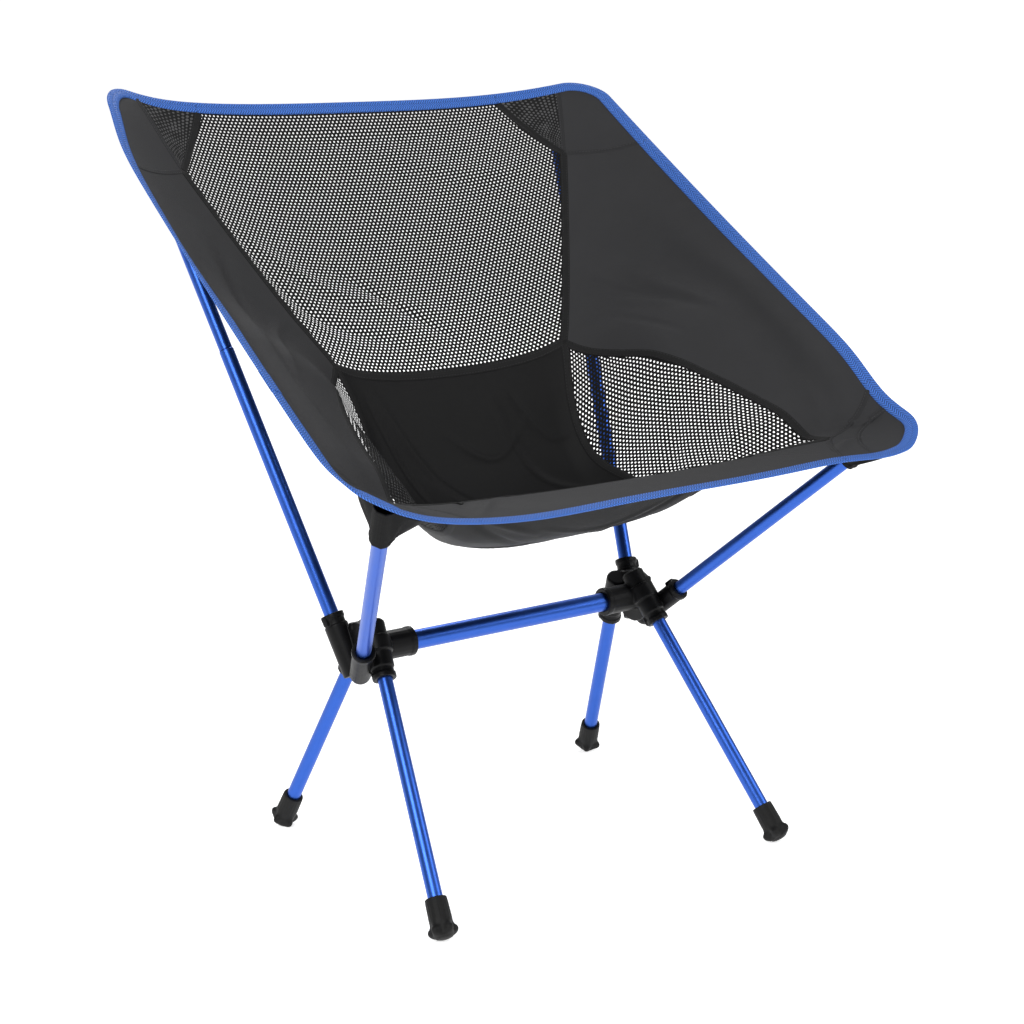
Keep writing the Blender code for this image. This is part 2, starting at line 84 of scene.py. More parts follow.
# The frame's driving dimensions, in metres, as the CAD has them.
TUBE_R, LOWER_POLE_R, UPPER_POLE_R, CROSSBAR_R = 0.0065, 0.0067, 0.0061, 0.0088
TUBE_WALL = 0.0009
SHIFT_Y = -0.0178
LINES = {
    "front_leg": ((0.1450, -0.0110, 0.2060), (0.1800, -0.1720, 0.0090)),
    "rear_leg": ((0.1385, 0.0220, 0.2060), (0.1755, 0.1180, 0.0090)),
    "arm": ((0.1605, -0.0095, 0.1873), (0.2543, -0.2200, 0.3888)),
    "pole": ((0.1570, 0.0207, 0.1907), (0.2293, 0.2636, 0.6456)),
}
SOCKET_MOUTHS = {"front_leg": 0.0325, "rear_leg": 0.0430, "arm": 0.0360, "pole": 0.0387}
TUBE_STARTS = {"front_leg": -0.0125, "rear_leg": -0.0020, "arm": -0.0040, "pole": -0.0063}
CROSSBAR_Y, CROSSBAR_Z, CROSSBAR_END = -0.0017, 0.2004, 0.1320
ARM_LENGTH_OUT, POLE_STEP, POLE_LENGTH_OUT = 0.2700, 0.2940, 0.5150
FOOT_SOCKET_BOTTOM, TUBE_GAP = 0.0090, 0.0003

# The sling, in its own coordinates: u across, -1 to 1; v from the front edge, 0, to the top, 1.
FRONT_CORNER = np.array((0.2868, -0.2388, 0.3858))
REAR_CORNER = np.array((0.2764, 0.2583, 0.6752))
EDGE_BOW = np.array((0.0010, 0.0025, -0.0045))
STATIONS = np.array((0.0, 0.13, 0.28, 0.46, 0.59, 0.72, 0.86, 1.0))
MIDDLE = np.array((
    (-0.2422, 0.3680), (-0.1485, 0.3575), (-0.0925, 0.3015), (-0.0085, 0.2912),
    (0.0460, 0.3205), (0.0975, 0.4151), (0.1876, 0.5270), (0.2764, 0.6552),
))
HAMMOCK_POWERS = (3.0, 2.15, 2.15, 3.2)
WALL_RISE = 0.365
WALL_U, WALL_FRONT_V, WALL_REAR_V = (0.33, 0.65), (0.10, 0.36), (0.60, 0.78)
CORNER_U, FRONT_CORNER_V, REAR_CORNER_V = 0.125, 0.170, 0.036
BAND_V = 0.13
FRONT_JUNCTION, REAR_JUNCTION, SEAT_CORNER = (0.76, 0.13), (0.75, 0.92), (0.44, 0.72)
SIDE_SEAM = (FRONT_JUNCTION, (0.735, 0.29), (0.70, 0.43), (0.64, 0.555), (0.54, 0.655), SEAT_CORNER)
SEAT_SEAM = ((0.44, 0.13), (0.43, 0.30), (0.415, 0.46), (0.392, 0.58), (0.397, 0.655), SEAT_CORNER)
BACK_SEAM = (SEAT_CORNER, (0.60, 0.82), REAR_JUNCTION)
PATCH_FRONT_U, PATCH_SIDE_V, REAR_PATCH_V, REAR_PATCH_U = 0.64, 0.31, 0.885, 0.60
NET_PATCH_U = 0.86
EDGE_COVER = 0.002
TAPE_WIDTH, TAPE_COLUMN = 0.0104, 0.0034
TAPE_LAP, LAP_SWELL = (10 - 2.42, 10 - 2.365), 0.00045
SEAM_WIDTH, SEAM_HEIGHT, STITCH_ROW = 0.0092, 0.0020, 0.0023
CORNER_SEAM_WIDTH, EAR_SEAM_WIDTH, CORNER_SEAM_HEIGHT = 0.0062, 0.0058, 0.0015
EAR_SEAM = ((0.985, 0.225), (0.90, 0.185), (0.80, 0.075), (0.775, 0.012))
NET_PATCH_THICKNESS = 0.0012

# Each corner's pocket: half width and half length of its seam, how far its mouth lies from the tube's
# tip, its radius there, and the power by which it widens.
POCKETS = {
    "front": ((0.034, 0.034), 0.018, TUBE_R + 0.0026, 1.1),
    "rear": ((0.028, 0.032), 0.040, UPPER_POLE_R + 0.0026, 1.5),
}
POCKET_ROWS, POCKET_COLUMNS = 34, 72
POCKET_WALL, POCKET_DROP, POCKET_DEPTH, CREASE_DEPTH = 0.0008, 0.0026, 0.06, 0.0022
STRETCH_START = 0.30


# Shapes


def unit(vectors):
    return vectors / np.linalg.norm(vectors, axis=-1, keepdims=True)


def arc_lengths(points):
    """Distance along a line of points, from its first one."""
    return np.concatenate([[0.0], np.cumsum(np.linalg.norm(np.diff(points, axis=0), axis=1))])


def at_lengths(points, reach, wanted):
    """The points at the wanted distances along a line, whose points lie at the distances reach."""
    return np.stack([np.interp(wanted, reach, axis) for axis in points.T], axis=-1)


def curve(points, count):
    """Evenly spaced points on a smooth cubic curve through the given ones (Catmull-Rom)."""
    points = np.asarray(points, float)
    padded = np.concatenate([[2 * points[0] - points[1]], points, [2 * points[-1] - points[-2]]])
    t = np.linspace(0, len(points) - 1, 24 * len(points))
    i = np.minimum(t.astype(int), len(points) - 2)
    t = (t - i)[:, None]
    a, b, c, d = (padded[i + n] for n in range(4))
    dense = b + t * ((c - a) + t * ((2 * a - 5 * b + 4 * c - d) + t * (3 * b - a - 3 * c + d))) / 2
    reach = arc_lengths(dense)
    return at_lengths(dense, reach, np.linspace(0, 1, count) * reach[-1])


def middle_line(v):
    """(y, z) along the middle of the sling: a cubic through the stations, smooth at each."""
    span = np.diff(STATIONS)[:, None]
    slope = np.diff(MIDDLE, axis=0) / span
    tangent = np.empty_like(MIDDLE)
    tangent[1:-1] = (slope[:-1] * span[1:] + slope[1:] * span[:-1]) / (span[1:] + span[:-1])
    tangent[0] = 2 * slope[0] - tangent[1]
    tangent[-1] = 2 * slope[-1] - tangent[-2]
    i = np.clip(np.searchsorted(STATIONS, v, side="right") - 1, 0, len(STATIONS) - 2)
    width = (STATIONS[i + 1] - STATIONS[i])[..., None]
    t = (v - STATIONS[i])[..., None] / width
    first = MIDDLE[i] * (2 * t**3 - 3 * t**2 + 1) + tangent[i] * width * (t**3 - 2 * t**2 + t)
    last = MIDDLE[i + 1] * (3 * t**2 - 2 * t**3) + tangent[i + 1] * width * (t**3 - t**2)
    return first + last


def edge_line(v):
    """The sling's +X side edge, from the front corner to the rear corner, bowed a little."""
    along = (v * (0.23 + 0.77 * v))[..., None]
    return FRONT_CORNER + (REAR_CORNER - FRONT_CORNER) * along + EDGE_BOW * 4 * along * (1 - along)


def eased(ends, value):
    """0 before the first end and 1 after the second, with a smooth cubic step between them."""
    share = np.clip((value - ends[0]) / (ends[1] - ends[0]), 0, 1)
    return share * share * (3 - 2 * share)


def taut(uv):
    """The sling pulled smooth: x grows evenly to the edge, the rise is a power of u plus the walls.

    The walls are the straight pull beside the seat, from the seat's seams to the side edges.
    """
    u, v = uv[..., 0], uv[..., 1]
    edge, middle = edge_line(v), middle_line(v)
    a, b, c, d = HAMMOCK_POWERS
    power = a * (1 - v) ** 3 + 3 * b * v * (1 - v) ** 2 + 3 * c * v * v * (1 - v) + d * v**3
    beside_seat = eased(WALL_FRONT_V, v) * (1 - eased(WALL_REAR_V, v))
    wall = WALL_RISE * (1 - u**4) * eased(WALL_U, np.abs(u)) * beside_seat
    rise = (np.abs(u) ** power + wall)[..., None]
    across = (edge[..., 0] * u)[..., None]
    place = np.concatenate([across, middle + (edge[..., 1:] - middle) * rise], axis=-1)
    return place + np.array((0, SHIFT_Y, 0))


def directions(uv):
    """The taut sling's slopes along u and v, and its unit normal on the sitter's side."""
    step = 1e-3
    along_u = (taut(uv + (step, 0)) - taut(uv - (step, 0))) / (2 * step)
    along_v = (taut(uv + (0, step)) - taut(uv - (0, step))) / (2 * step)
    return along_u, along_v, unit(np.cross(along_u, along_v))


# Each fold: three (u, v) points of its line, its half width and its height towards the sitter, in mm.
FOLDS = (
    ((0.78, 0.88), (0.86, 0.60), (0.80, 0.24), 14.0, -5.0),
    ((0.90, 0.80), (0.93, 0.50), (0.90, 0.26), 13.0, 3.6),
    ((0.66, 0.84), (0.78, 0.70), (0.86, 0.50), 8.0, 2.6),
    ((0.60, 0.80), (0.72, 0.72), (0.84, 0.56), 6.0, -2.8),
    ((0.55, 0.77), (0.66, 0.72), (0.76, 0.66), 4.0, 2.0),
    ((0.52, 0.75), (0.62, 0.70), (0.70, 0.60), 3.5, -1.8),
    ((0.76, 0.17), (0.82, 0.30), (0.84, 0.42), 7.0, 2.2),
    ((0.83, 0.24), (0.90, 0.20), (0.97, 0.22), 5.0, 2.0),
    ((0.68, 0.04), (0.78, 0.09), (0.86, 0.10), 5.0, 1.8),
    ((-0.80, 0.86), (-0.86, 0.55), (-0.84, 0.24), 13.0, 4.0),
    ((-0.92, 0.76), (-0.94, 0.50), (-0.92, 0.30), 10.0, -3.0),
    ((-0.72, 0.85), (-0.79, 0.68), (-0.85, 0.50), 8.0, -2.8),
    ((-0.58, 0.77), (-0.70, 0.70), (-0.80, 0.56), 5.0, 2.2),
    ((-0.82, 0.22), (-0.90, 0.19), (-0.97, 0.22), 5.0, 1.8),
    ((-0.36, 0.70), (-0.24, 0.58), (-0.14, 0.44), 3.0, -1.9),
    ((-0.33, 0.71), (-0.16, 0.60), (0.02, 0.52), 4.5, 1.8),
    ((-0.16, 0.60), (-0.02, 0.50), (0.10, 0.46), 2.4, -1.8),
    ((0.06, 0.48), (0.14, 0.40), (0.17, 0.28), 2.2, -1.9),
    ((0.04, 0.49), (0.16, 0.44), (0.30, 0.45), 3.0, 1.5),
    ((-0.10, 0.66), (0.08, 0.62), (0.24, 0.66), 3.5, 1.6),
    ((0.12, 0.70), (0.22, 0.58), (0.36, 0.50), 4.0, -1.8),
    ((0.18, 0.70), (0.29, 0.63), (0.38, 0.62), 3.0, 1.5),
    ((-0.40, 0.50), (-0.26, 0.40), (-0.10, 0.36), 5.0, 2.0),
    ((-0.38, 0.42), (-0.20, 0.34), (0.04, 0.34), 3.2, -1.7),
    ((0.02, 0.34), (0.20, 0.28), (0.41, 0.31), 4.0, 1.7),
    ((0.20, 0.36), (0.30, 0.40), (0.40, 0.38), 2.6, -1.4),
    ((-0.14, 0.24), (0.10, 0.27), (0.34, 0.22), 4.0, -1.6),
    ((-0.60, 0.06), (-0.40, 0.18), (-0.12, 0.26), 5.0, -2.6),
    ((-0.62, 0.02), (-0.34, 0.13), (-0.05, 0.20), 4.0, 2.2),
    ((-0.50, 0.15), (-0.30, 0.24), (-0.06, 0.34), 4.5, 2.2),
    ((0.62, 0.04), (0.40, 0.15), (0.12, 0.22), 5.0, -2.0),
    ((0.56, 0.10), (0.36, 0.22), (0.14, 0.30), 4.0, 1.6),
    ((-0.66, 0.88), (-0.46, 0.79), (-0.12, 0.755), 7.0, -3.4),
    ((-0.60, 0.86), (-0.30, 0.81), (0.06, 0.79), 6.0, 2.6),
    ((-0.30, 0.84), (-0.08, 0.79), (0.10, 0.75), 5.0, -2.4),
    ((-0.64, 0.975), (0.00, 0.965), (0.62, 0.975), 8.0, -2.2),
    ((0.70, 0.92), (0.40, 0.925), (0.05, 0.95), 9.0, 2.2),
    ((0.20, 0.76), (0.36, 0.84), (0.60, 0.90), 9.0, 1.8),
    ((0.50, 0.24), (0.60, 0.36), (0.66, 0.48), 8.0, 2.2),
    ((0.44, 0.36), (0.54, 0.48), (0.58, 0.60), 7.0, -2.2),
    ((-0.46, 0.30), (-0.56, 0.44), (-0.60, 0.56), 8.0, 2.0),
)
METRES_U, METRES_V = 0.28, 0.86


def relief(uv):
    """How far the fabric stands off the taut sling: the sum of bell-shaped ridges along curves.

    Each ridge dies away at its two ends, at the bound edge, where the tape holds the cloth flat,
    and along the middle of the front band's seam.
    """
    scale = np.array((METRES_U, METRES_V))
    place = uv * scale
    total = np.zeros(uv.shape[:-1])
    for *points, width, height in FOLDS:
        line = curve(points, 15) * scale
        near = np.full(total.shape, np.inf)
        along = np.zeros(total.shape)
        for n, (start, end) in enumerate(zip(line[:-1], line[1:])):
            step = end - start
            share = np.clip(((place - start) @ step) / (step @ step), 0, 1)
            gap = np.linalg.norm(place - start - share[..., None] * step, axis=-1)
            along = np.where(gap < near, (n + share) / (len(line) - 1), along)
            near = np.minimum(gap, near)
        fade = np.sin(np.pi * np.clip(along, 0, 1)) ** 0.7
        total += height * MM * SETTINGS.fabric.fold_depth * fade * np.exp(-((near / (width * MM)) ** 2))
    u, v = np.abs(uv[..., 0]), uv[..., 1]
    edge = np.minimum.reduce([1.02 - u, (v + 0.01) * 4, (1.01 - v) * 4])
    band = np.clip(np.abs(v - BAND_V) / 0.06, 0.15, 1)
    return total * np.clip(edge / 0.12, 0, 1) * np.where(u < 0.5, band, 1)


# Where the hung sling is drawn or droops away from its mean shape: (u, v), reach and shift in mm.
DROOPS = (
    (-0.46, 0.22, 62.0, (-12.0, 3.0, 2.0)),
    (0.84, 0.00, 48.0, (0.0, -3.0, -8.0)),
    (1.00, 0.26, 42.0, (-3.0, 0.0, -8.0)),
    (-1.00, 0.26, 42.0, (2.0, 0.0, -3.0)),
    (-0.98, 0.06, 42.0, (6.0, 5.0, 9.0)),
    (-0.50, 0.00, 80.0, (0.0, 0.0, -4.0)),
    (-0.99, 0.985, 56.0, (11.0, 0.0, 6.0)),
)


def droop(uv):
    """The sum of bell-shaped shifts, each round one point of the sling."""
    place = taut(uv)
    shift = np.zeros_like(place)
    for u, v, reach, way in DROOPS:
        away = np.linalg.norm(place - taut(np.array((u, v))), axis=-1)
        shift += np.exp(-((away / (reach * MM)) ** 2))[..., None] * np.array(way) * MM
    return shift


def cloth(uv):
    """The fabric as it hangs, and its normal: the taut sling with its droops and folds."""
    _, _, normal = directions(uv)
    return taut(uv) + droop(uv) + normal * relief(uv)[..., None], normal


def outline(k):
    """(u, v) round the sling: front 0-1, corner 1-2, +X side 2-3, corner 3-4, top 4-5.

    Under 0 and over 5 it goes on round the -X half, as the mirror image.
    """
    k = np.asarray(k, float)
    side = np.where((k < 0) | (k > 5), -1, 1)
    k = np.where(k > 5, 10 - k, np.abs(k))
    turn = np.pi / 2 * np.mod(k, 1.0)
    flat_u = 1 - CORNER_U
    last_v = 1 - REAR_CORNER_V
    pieces = (
        (flat_u * k, 0 * k),
        (flat_u + CORNER_U * np.sin(turn), FRONT_CORNER_V * (1 - np.cos(turn))),
        (1 + 0 * k, FRONT_CORNER_V + (k - 2) * (last_v - FRONT_CORNER_V)),
        (flat_u + CORNER_U * np.cos(turn), last_v + REAR_CORNER_V * np.sin(turn)),
        (flat_u * (5 - k), 1 + 0 * k),
    )
    part = np.clip(np.floor(k).astype(int), 0, 4)
    u = np.choose(part, [piece[0] for piece in pieces])
    v = np.choose(part, [piece[1] for piece in pieces])
    return np.stack([side * u, v], axis=-1)


def side_station(v):
    """The outline's k at the height v of the straight side."""
    return 2 + (v - FRONT_CORNER_V) / (1 - REAR_CORNER_V - FRONT_CORNER_V)


FRONT_PATCH_K = (PATCH_FRONT_U / (1 - CORNER_U), side_station(PATCH_SIDE_V))
REAR_PATCH_K = (side_station(REAR_PATCH_V), 5 - REAR_PATCH_U / (1 - CORNER_U))
NET_PATCH_K = 5 - NET_PATCH_U / (1 - CORNER_U)


def edge_run(first, last, count):
    """A stretch of the outline, moved in along the fabric a little so that the tape covers it.

    The move is solved for u and v with the surface's own lengths: e, f and g are the products of
    its two slopes, and p and q those of the slopes and the inward direction.
    """
    uv = outline(np.linspace(first, last, 181))
    along_u, along_v, normal = directions(uv)
    inward = unit(np.cross(normal, np.gradient(taut(uv), axis=0)))
    e, f, g = (along_u**2).sum(-1), (along_u * along_v).sum(-1), (along_v**2).sum(-1)
    p, q = (inward * along_u).sum(-1), (inward * along_v).sum(-1)
    shift = np.stack([p * g - q * f, q * e - p * f], axis=-1) / (e * g - f * f)[..., None]
    moved = uv + shift * EDGE_COVER
    reach = arc_lengths(taut(moved))
    return at_lengths(moved, reach, np.linspace(0, reach[-1], count))


def edge_point(k):
    """The one point of that stretch at the station k."""
    return edge_run(k - 0.01, k + 0.01, 3)[1]


def between(first, last, rows):
    """A grid in (u, v) between two lines with equally many points."""
    share = np.linspace(0, 1, rows)[:, None, None]
    return first[None] * (1 - share) + last[None] * share


def filled(south, north, west, east):
    """A grid in (u, v) that meets four boundary lines: both ruled grids less the bilinear one."""
    across = between(south, north, len(west))
    along = between(west, east, len(south)).swapaxes(0, 1)
    share = np.linspace(0, 1, len(south))[:, None]
    rows = [line[0] * (1 - share) + line[-1] * share for line in (south, north)]
    return across + along - between(*rows, len(west))


# Meshes


def grid_faces(rows, columns, wrap_rows=False, wrap_columns=False):
    """Quads of a grid of points, as indices, and the same quads as indices of an unwrapped grid."""
    last_row, last_column = rows + wrap_rows, columns + wrap_columns
    i, j = np.meshgrid(np.arange(last_row - 1), np.arange(last_column - 1), indexing="ij")
    corners = [(i, j), (i, j + 1), (i + 1, j + 1), (i + 1, j)]
    faces = [(a % rows) * columns + b % columns for a, b in corners]
    flat = [a * last_column + b for a, b in corners]
    return np.stack(faces, -1).reshape(-1, 4), np.stack(flat, -1).reshape(-1, 4)


def new_piece(name, points, faces, finish_name, uv, uv_faces=None, sharp=None):
    """A smooth-shaded mesh object with a UV map in metres, at the origin."""
    mesh = bpy.data.meshes.new(name)
    mesh.from_pydata(np.asarray(points).reshape(-1, 3).tolist(), [], [list(face) for face in faces])
    layer = mesh.uv_layers.new(name="Cloth")
    order = np.concatenate([np.asarray(face) for face in (faces if uv_faces is None else uv_faces)])
    layer.data.foreach_set("uv", uv.reshape(-1, 2)[order].ravel())
    mesh.shade_smooth()
    if sharp is not None:
        mesh.set_sharp_from_angle(angle=math.radians(sharp))
    mesh.materials.append(finish(finish_name))
    piece = bpy.data.objects.new(name, mesh)
    collection().objects.link(piece)
    return piece


def collection():
    """The scene collection that holds the new pieces."""
    made = bpy.data.collections.get("camp_chair") or bpy.data.collections.new("camp_chair")
    if made.name not in bpy.context.scene.collection.children:
        bpy.context.scene.collection.children.link(made)
    return made


def faces_along(points, faces, way):
    """Whether the first face of a grid faces the given way."""
    corner = points.reshape(-1, 3)[faces[0]]
    return np.dot(np.cross(corner[1] - corner[0], corner[3] - corner[0]), way) >= 0


def sheet_piece(name, grid, finish_name, thickness):
    """A closed thin sheet over a grid in (u, v): both faces of the cloth and the rim between them."""
    rows, columns = grid.shape[:2]
    points, normal = cloth(grid)
    front, back = points + normal * thickness / 2, points - normal * thickness / 2
    across = np.linalg.norm(np.diff(points, axis=1), axis=-1).mean(0)
    along = np.linalg.norm(np.diff(points, axis=0), axis=-1).mean(1)
    across, along = (np.concatenate([[0], np.cumsum(line)]) for line in (across, along))
    flat = np.stack(np.broadcast_arrays(across[None, :], along[:, None]), -1)
    faces, _ = grid_faces(rows, columns)
    index = np.arange(rows * columns).reshape(rows, columns)
    rim = np.concatenate([index[0, :-1], index[:-1, -1], index[-1, :0:-1], index[:0:-1, 0]])
    after = np.roll(rim, -1)
    size = rows * columns
    rim_faces = np.stack([rim, rim + size, after + size, after], -1)
    whole = np.concatenate([faces, faces[:, ::-1] + size, rim_faces])
    if not faces_along(points, faces, normal.reshape(-1, 3)[faces[0, 0]]):
        whole = whole[:, ::-1]
    piece = new_piece(name, np.stack([front, back]), whole, finish_name, np.stack([flat, flat]))
    return piece


def turning(loop):
    """Twice the signed area inside a flat loop: positive if it runs anticlockwise."""
    after = np.roll(loop, -1, axis=0)
    return float((loop[:, 0] * after[:, 1] - loop[:, 1] * after[:, 0]).sum())


def swept(name, centres, across, normal, section, finish_name):
    """A closed section, as (across, up) points, carried along a path, with flat ends."""
    sideways = across[:, None] * section[None, :, :1]
    path = centres[:, None] + sideways + normal[:, None] * section[None, :, 1:]
    rows, columns = path.shape[:2]
    faces, flat_faces = grid_faces(rows, columns, wrap_columns=True)
    round_it = arc_lengths(np.concatenate([section, section[:1]]))
    flat = np.stack(np.broadcast_arrays(arc_lengths(centres)[:, None], round_it[None]), -1)
    first = np.arange(columns)[::-1]
    last = np.arange(columns) + (rows - 1) * columns
    flat_last = np.arange(columns) + (rows - 1) * (columns + 1)
    quads = [list(face) for face in faces] + [first, last]
    flat_quads = [list(face) for face in flat_faces] + [first, flat_last]
    volume = np.linalg.det(np.stack([across[0], normal[0], centres[1] - centres[0]]))
    if turning(section) * volume > 0:
        quads, flat_quads = [face[::-1] for face in quads], [face[::-1] for face in flat_quads]
    return new_piece(name, path, quads, finish_name, flat, flat_quads)


def lathe(name, matrix, profile, finish_name, sides=48, ripple=None, closed=False, sharp=35):
    """A profile of (radius, height) turned about Z. ripple(angle, profile) adds to the radius.

    A closed profile makes a pipe. An open one is capped with a small disc at each end.
    """
    profile = np.asarray(profile, float)
    angle = np.linspace(0, 2 * np.pi, sides, endpoint=False)
    radius = np.repeat(profile[:, :1], sides, axis=1)
    if ripple is not None:
        radius = radius + ripple(angle[None, :], profile)
    height = np.repeat(profile[:, 1:], sides, 1)
    points = np.stack([radius * np.cos(angle), radius * np.sin(angle), height], -1)
    faces, flat_faces = grid_faces(len(profile), sides, wrap_rows=closed, wrap_columns=True)
    line = np.concatenate([profile, profile[:1]]) if closed else profile
    flat = np.stack(np.broadcast_arrays(
        np.linspace(0, 2 * np.pi * profile[:, 0].max(), sides + 1)[None], arc_lengths(line)[:, None]), -1)
    quads, flat_quads = [list(face) for face in faces], [list(face) for face in flat_faces]
    if not closed:
        rim = np.arange(sides)
        quads += [list(rim[::-1]), list(rim + (len(profile) - 1) * sides)]
        flat_quads += [list(rim[::-1]), list(rim + (len(profile) - 1) * (sides + 1))]
    if turning(line) < 0:
        quads, flat_quads = [face[::-1] for face in quads], [face[::-1] for face in flat_quads]
    world = points.reshape(-1, 3) @ np.array(matrix.to_3x3()).T + np.array(matrix.translation)
    return new_piece(name, world, quads, finish_name, flat, flat_quads, sharp)


def inside(points, loop):
    """Which (u, v) points lie inside a closed loop: a ray from each crosses it an odd number of times."""
    after = np.roll(loop, -1, axis=0)
    above = (loop[:, 1] > points[..., None, 1]) != (after[:, 1] > points[..., None, 1])
    rise = np.where(after[:, 1] == loop[:, 1], 1e-12, after[:, 1] - loop[:, 1])
    reach = loop[:, 0] + (points[..., None, 1] - loop[:, 1]) * (after[:, 0] - loop[:, 0]) / rise
    return (above & (points[..., None, 0] < reach)).sum(-1) % 2 == 1


def net_piece(name, loop, across_at, along_at):
    """A net of staggered round holes over the part of the sling inside a loop.

    Its columns are spaced along the sling's line at the height across_at, its rows along that at
    the width along_at.

    Each hole is a ring of twelve quads between the circle and the six-sided cell round it, whose
    corners are where three cells meet. Cells are laid out on the flat cloth, by arc length.
    """
    pitch, row_pitch = SETTINGS.fabric.pitch, SETTINGS.fabric.row_pitch
    u_line = np.linspace(loop[:, 0].min() - 0.05, loop[:, 0].max() + 0.05, 200)
    v_line = np.linspace(max(loop[:, 1].min() - 0.03, -0.02), min(loop[:, 1].max() + 0.03, 1.02), 200)
    p_line = arc_lengths(taut(np.stack([u_line, np.full(200, across_at)], -1)))
    q_line = arc_lengths(taut(np.stack([np.full(200, along_at), v_line], -1)))
    rows, columns = int(q_line[-1] / row_pitch) + 1, int(p_line[-1] / pitch) + 1
    j, i = np.meshgrid(np.arange(rows), np.arange(columns), indexing="ij")
    centre = np.stack([(i + 0.5 * (j % 2)) * pitch, j * row_pitch], -1).reshape(-1, 2)

    def on_sling(flat):
        u = np.interp(flat[..., 0], p_line, u_line)
        return np.stack([u, np.interp(flat[..., 1], q_line, v_line)], -1)

    centre = centre[inside(on_sling(centre), loop)]
    top = (row_pitch**2 + pitch**2 / 4) / (2 * row_pitch)
    flank = (row_pitch**2 - pitch**2 / 4) / (2 * row_pitch)
    corners = np.array([(0, -top), (pitch / 2, -flank), (pitch / 2, flank),
                        (0, top), (-pitch / 2, flank), (-pitch / 2, -flank)])
    cell = np.stack([corners, (corners + np.roll(corners, -1, axis=0)) / 2], 1).reshape(-1, 2)
    outer = centre[:, None] + cell[None]
    inner = centre[:, None] + unit(cell)[None] * SETTINGS.fabric.hole / 2
    keys, back = np.unique(np.round(outer.reshape(-1, 2), 6), axis=0, return_inverse=True)
    outer_index = back.reshape(len(centre), 12)
    inner_index = len(keys) + np.arange(len(centre) * 12).reshape(len(centre), 12)
    after = np.roll(np.arange(12), -1)
    faces = np.stack([outer_index, outer_index[:, after], inner_index[:, after], inner_index], -1)
    flat = np.concatenate([keys, inner.reshape(-1, 2)])
    points, _ = cloth(on_sling(flat))
    piece = new_piece(name, points, faces.reshape(-1, 4), "net", flat)
    return piece


def band_section(width, height):
    """A flat lens: a band's cross-section, thick in the middle and thin at its two long edges."""
    across = np.linspace(-1, 1, 7)
    up = 0.15 + 0.85 * (1 - np.abs(across) ** 4) ** 0.5
    upper = np.stack([across * width / 2, up * height / 2], -1)
    return np.concatenate([upper, upper[::-1] * (1, -1)])


def seam_piece(name, line, width, height, finish_name):
    """A sewn band along a line in (u, v), standing a little proud of both faces of the cloth."""
    points, normal = cloth(line)
    tangent = unit(np.gradient(points, axis=0))
    return swept(name, points, np.cross(tangent, normal), normal, band_section(width, height), finish_name)


def tape_section(swell):
    """The edge tape folded over the cloth: a U whose arms lie on both faces, round at the fold."""
    thick = 1.25 * MM + swell
    arm = np.linspace(TAPE_WIDTH, 0.8 * MM, 6)
    upper = np.stack([arm, thick * (0.72 + 0.28 * np.sin(np.pi * (TAPE_WIDTH - arm) / TAPE_WIDTH))], -1)
    turn = np.linspace(0, np.pi, 8)[1:-1]
    nose = np.stack([0.8 * MM - 2.2 * MM * np.sin(turn), upper[-1, 1] * np.cos(turn)], -1)
    return np.concatenate([upper, nose, upper[::-1] * (1, -1)])


def tape_piece(name, first, last, count, swell=0.0):
    """A stretch of edge tape along the outline, from one station to the other."""
    uv = outline(np.linspace(first, last, 8 * count))
    reach = arc_lengths(taut(uv))
    points, normal = cloth(at_lengths(uv, reach, np.linspace(0, reach[-1], count)))
    inward = unit(np.cross(normal, np.gradient(points, axis=0)))
    return swept(name, points, inward, normal, tape_section(swell), "tape")


# Frame


class Line:
    """A tube's centre line, as in the CAD: at(t) is t metres from its point in the hub."""

    def __init__(self, label, side):
        first, last = (Vector((side * x, y + SHIFT_Y, z)) for x, y, z in LINES[label])
        self.start = first
        self.direction = (last - first).normalized()

    def at(self, distance):
        return self.start + self.direction * distance

    def matrix(self, distance):
        turn = self.direction.to_track_quat("Z", "Y").to_matrix().to_4x4()
        return Matrix.Translation(self.at(distance)) @ turn


def pipe(name, matrix, length, outer):
    """A tube with its end edges rounded over, inside and out."""
    inner, edge = outer - TUBE_WALL, 0.0003
    profile = (
        (outer, edge), (outer, length * 0.5), (outer, length - edge), (outer - edge, length),
        (inner + edge, length), (inner, length - edge), (inner, edge), (inner + edge, 0), (outer - edge, 0),
    )
    return lathe(name, matrix, profile, "anodised", closed=True)


def foot_distance(line):
    """How far down a leg's line its sole lies: the lowest point of the foot's rim is on the ground."""
    down = -line.direction.z
    across = math.sqrt(1 - down * down)
    rim = ((0.0123, 0.0078), (0.0120, 0.0095), (0.0116, 0.0058), (0.0098, 0.0034), (0.0064, 0.0013))
    reach = max(radius * across - height * down for radius, height in rim)
    return (line.start.z - reach) / down


def foot_ripple(angle, profile):
    """Five rounded lobes round the rim, fading up the sleeve, and fine ribs along the sleeve."""
    height = profile[:, 1:]
    outside = (profile[:, :1] > 0.0088).astype(float)
    rim = np.exp(-(((height - 0.0078) / 0.0042) ** 2)) * outside
    sleeve = np.clip((height - 0.014) / 0.006, 0, 1) * np.clip((0.033 - height) / 0.003, 0, 1) * outside
    lobes = 0.5 + 0.5 * np.cos(5 * angle)
    return rim * (lobes**1.2 * 0.0046 - 0.0037) + sleeve * 0.00016 * np.cos(20 * angle)


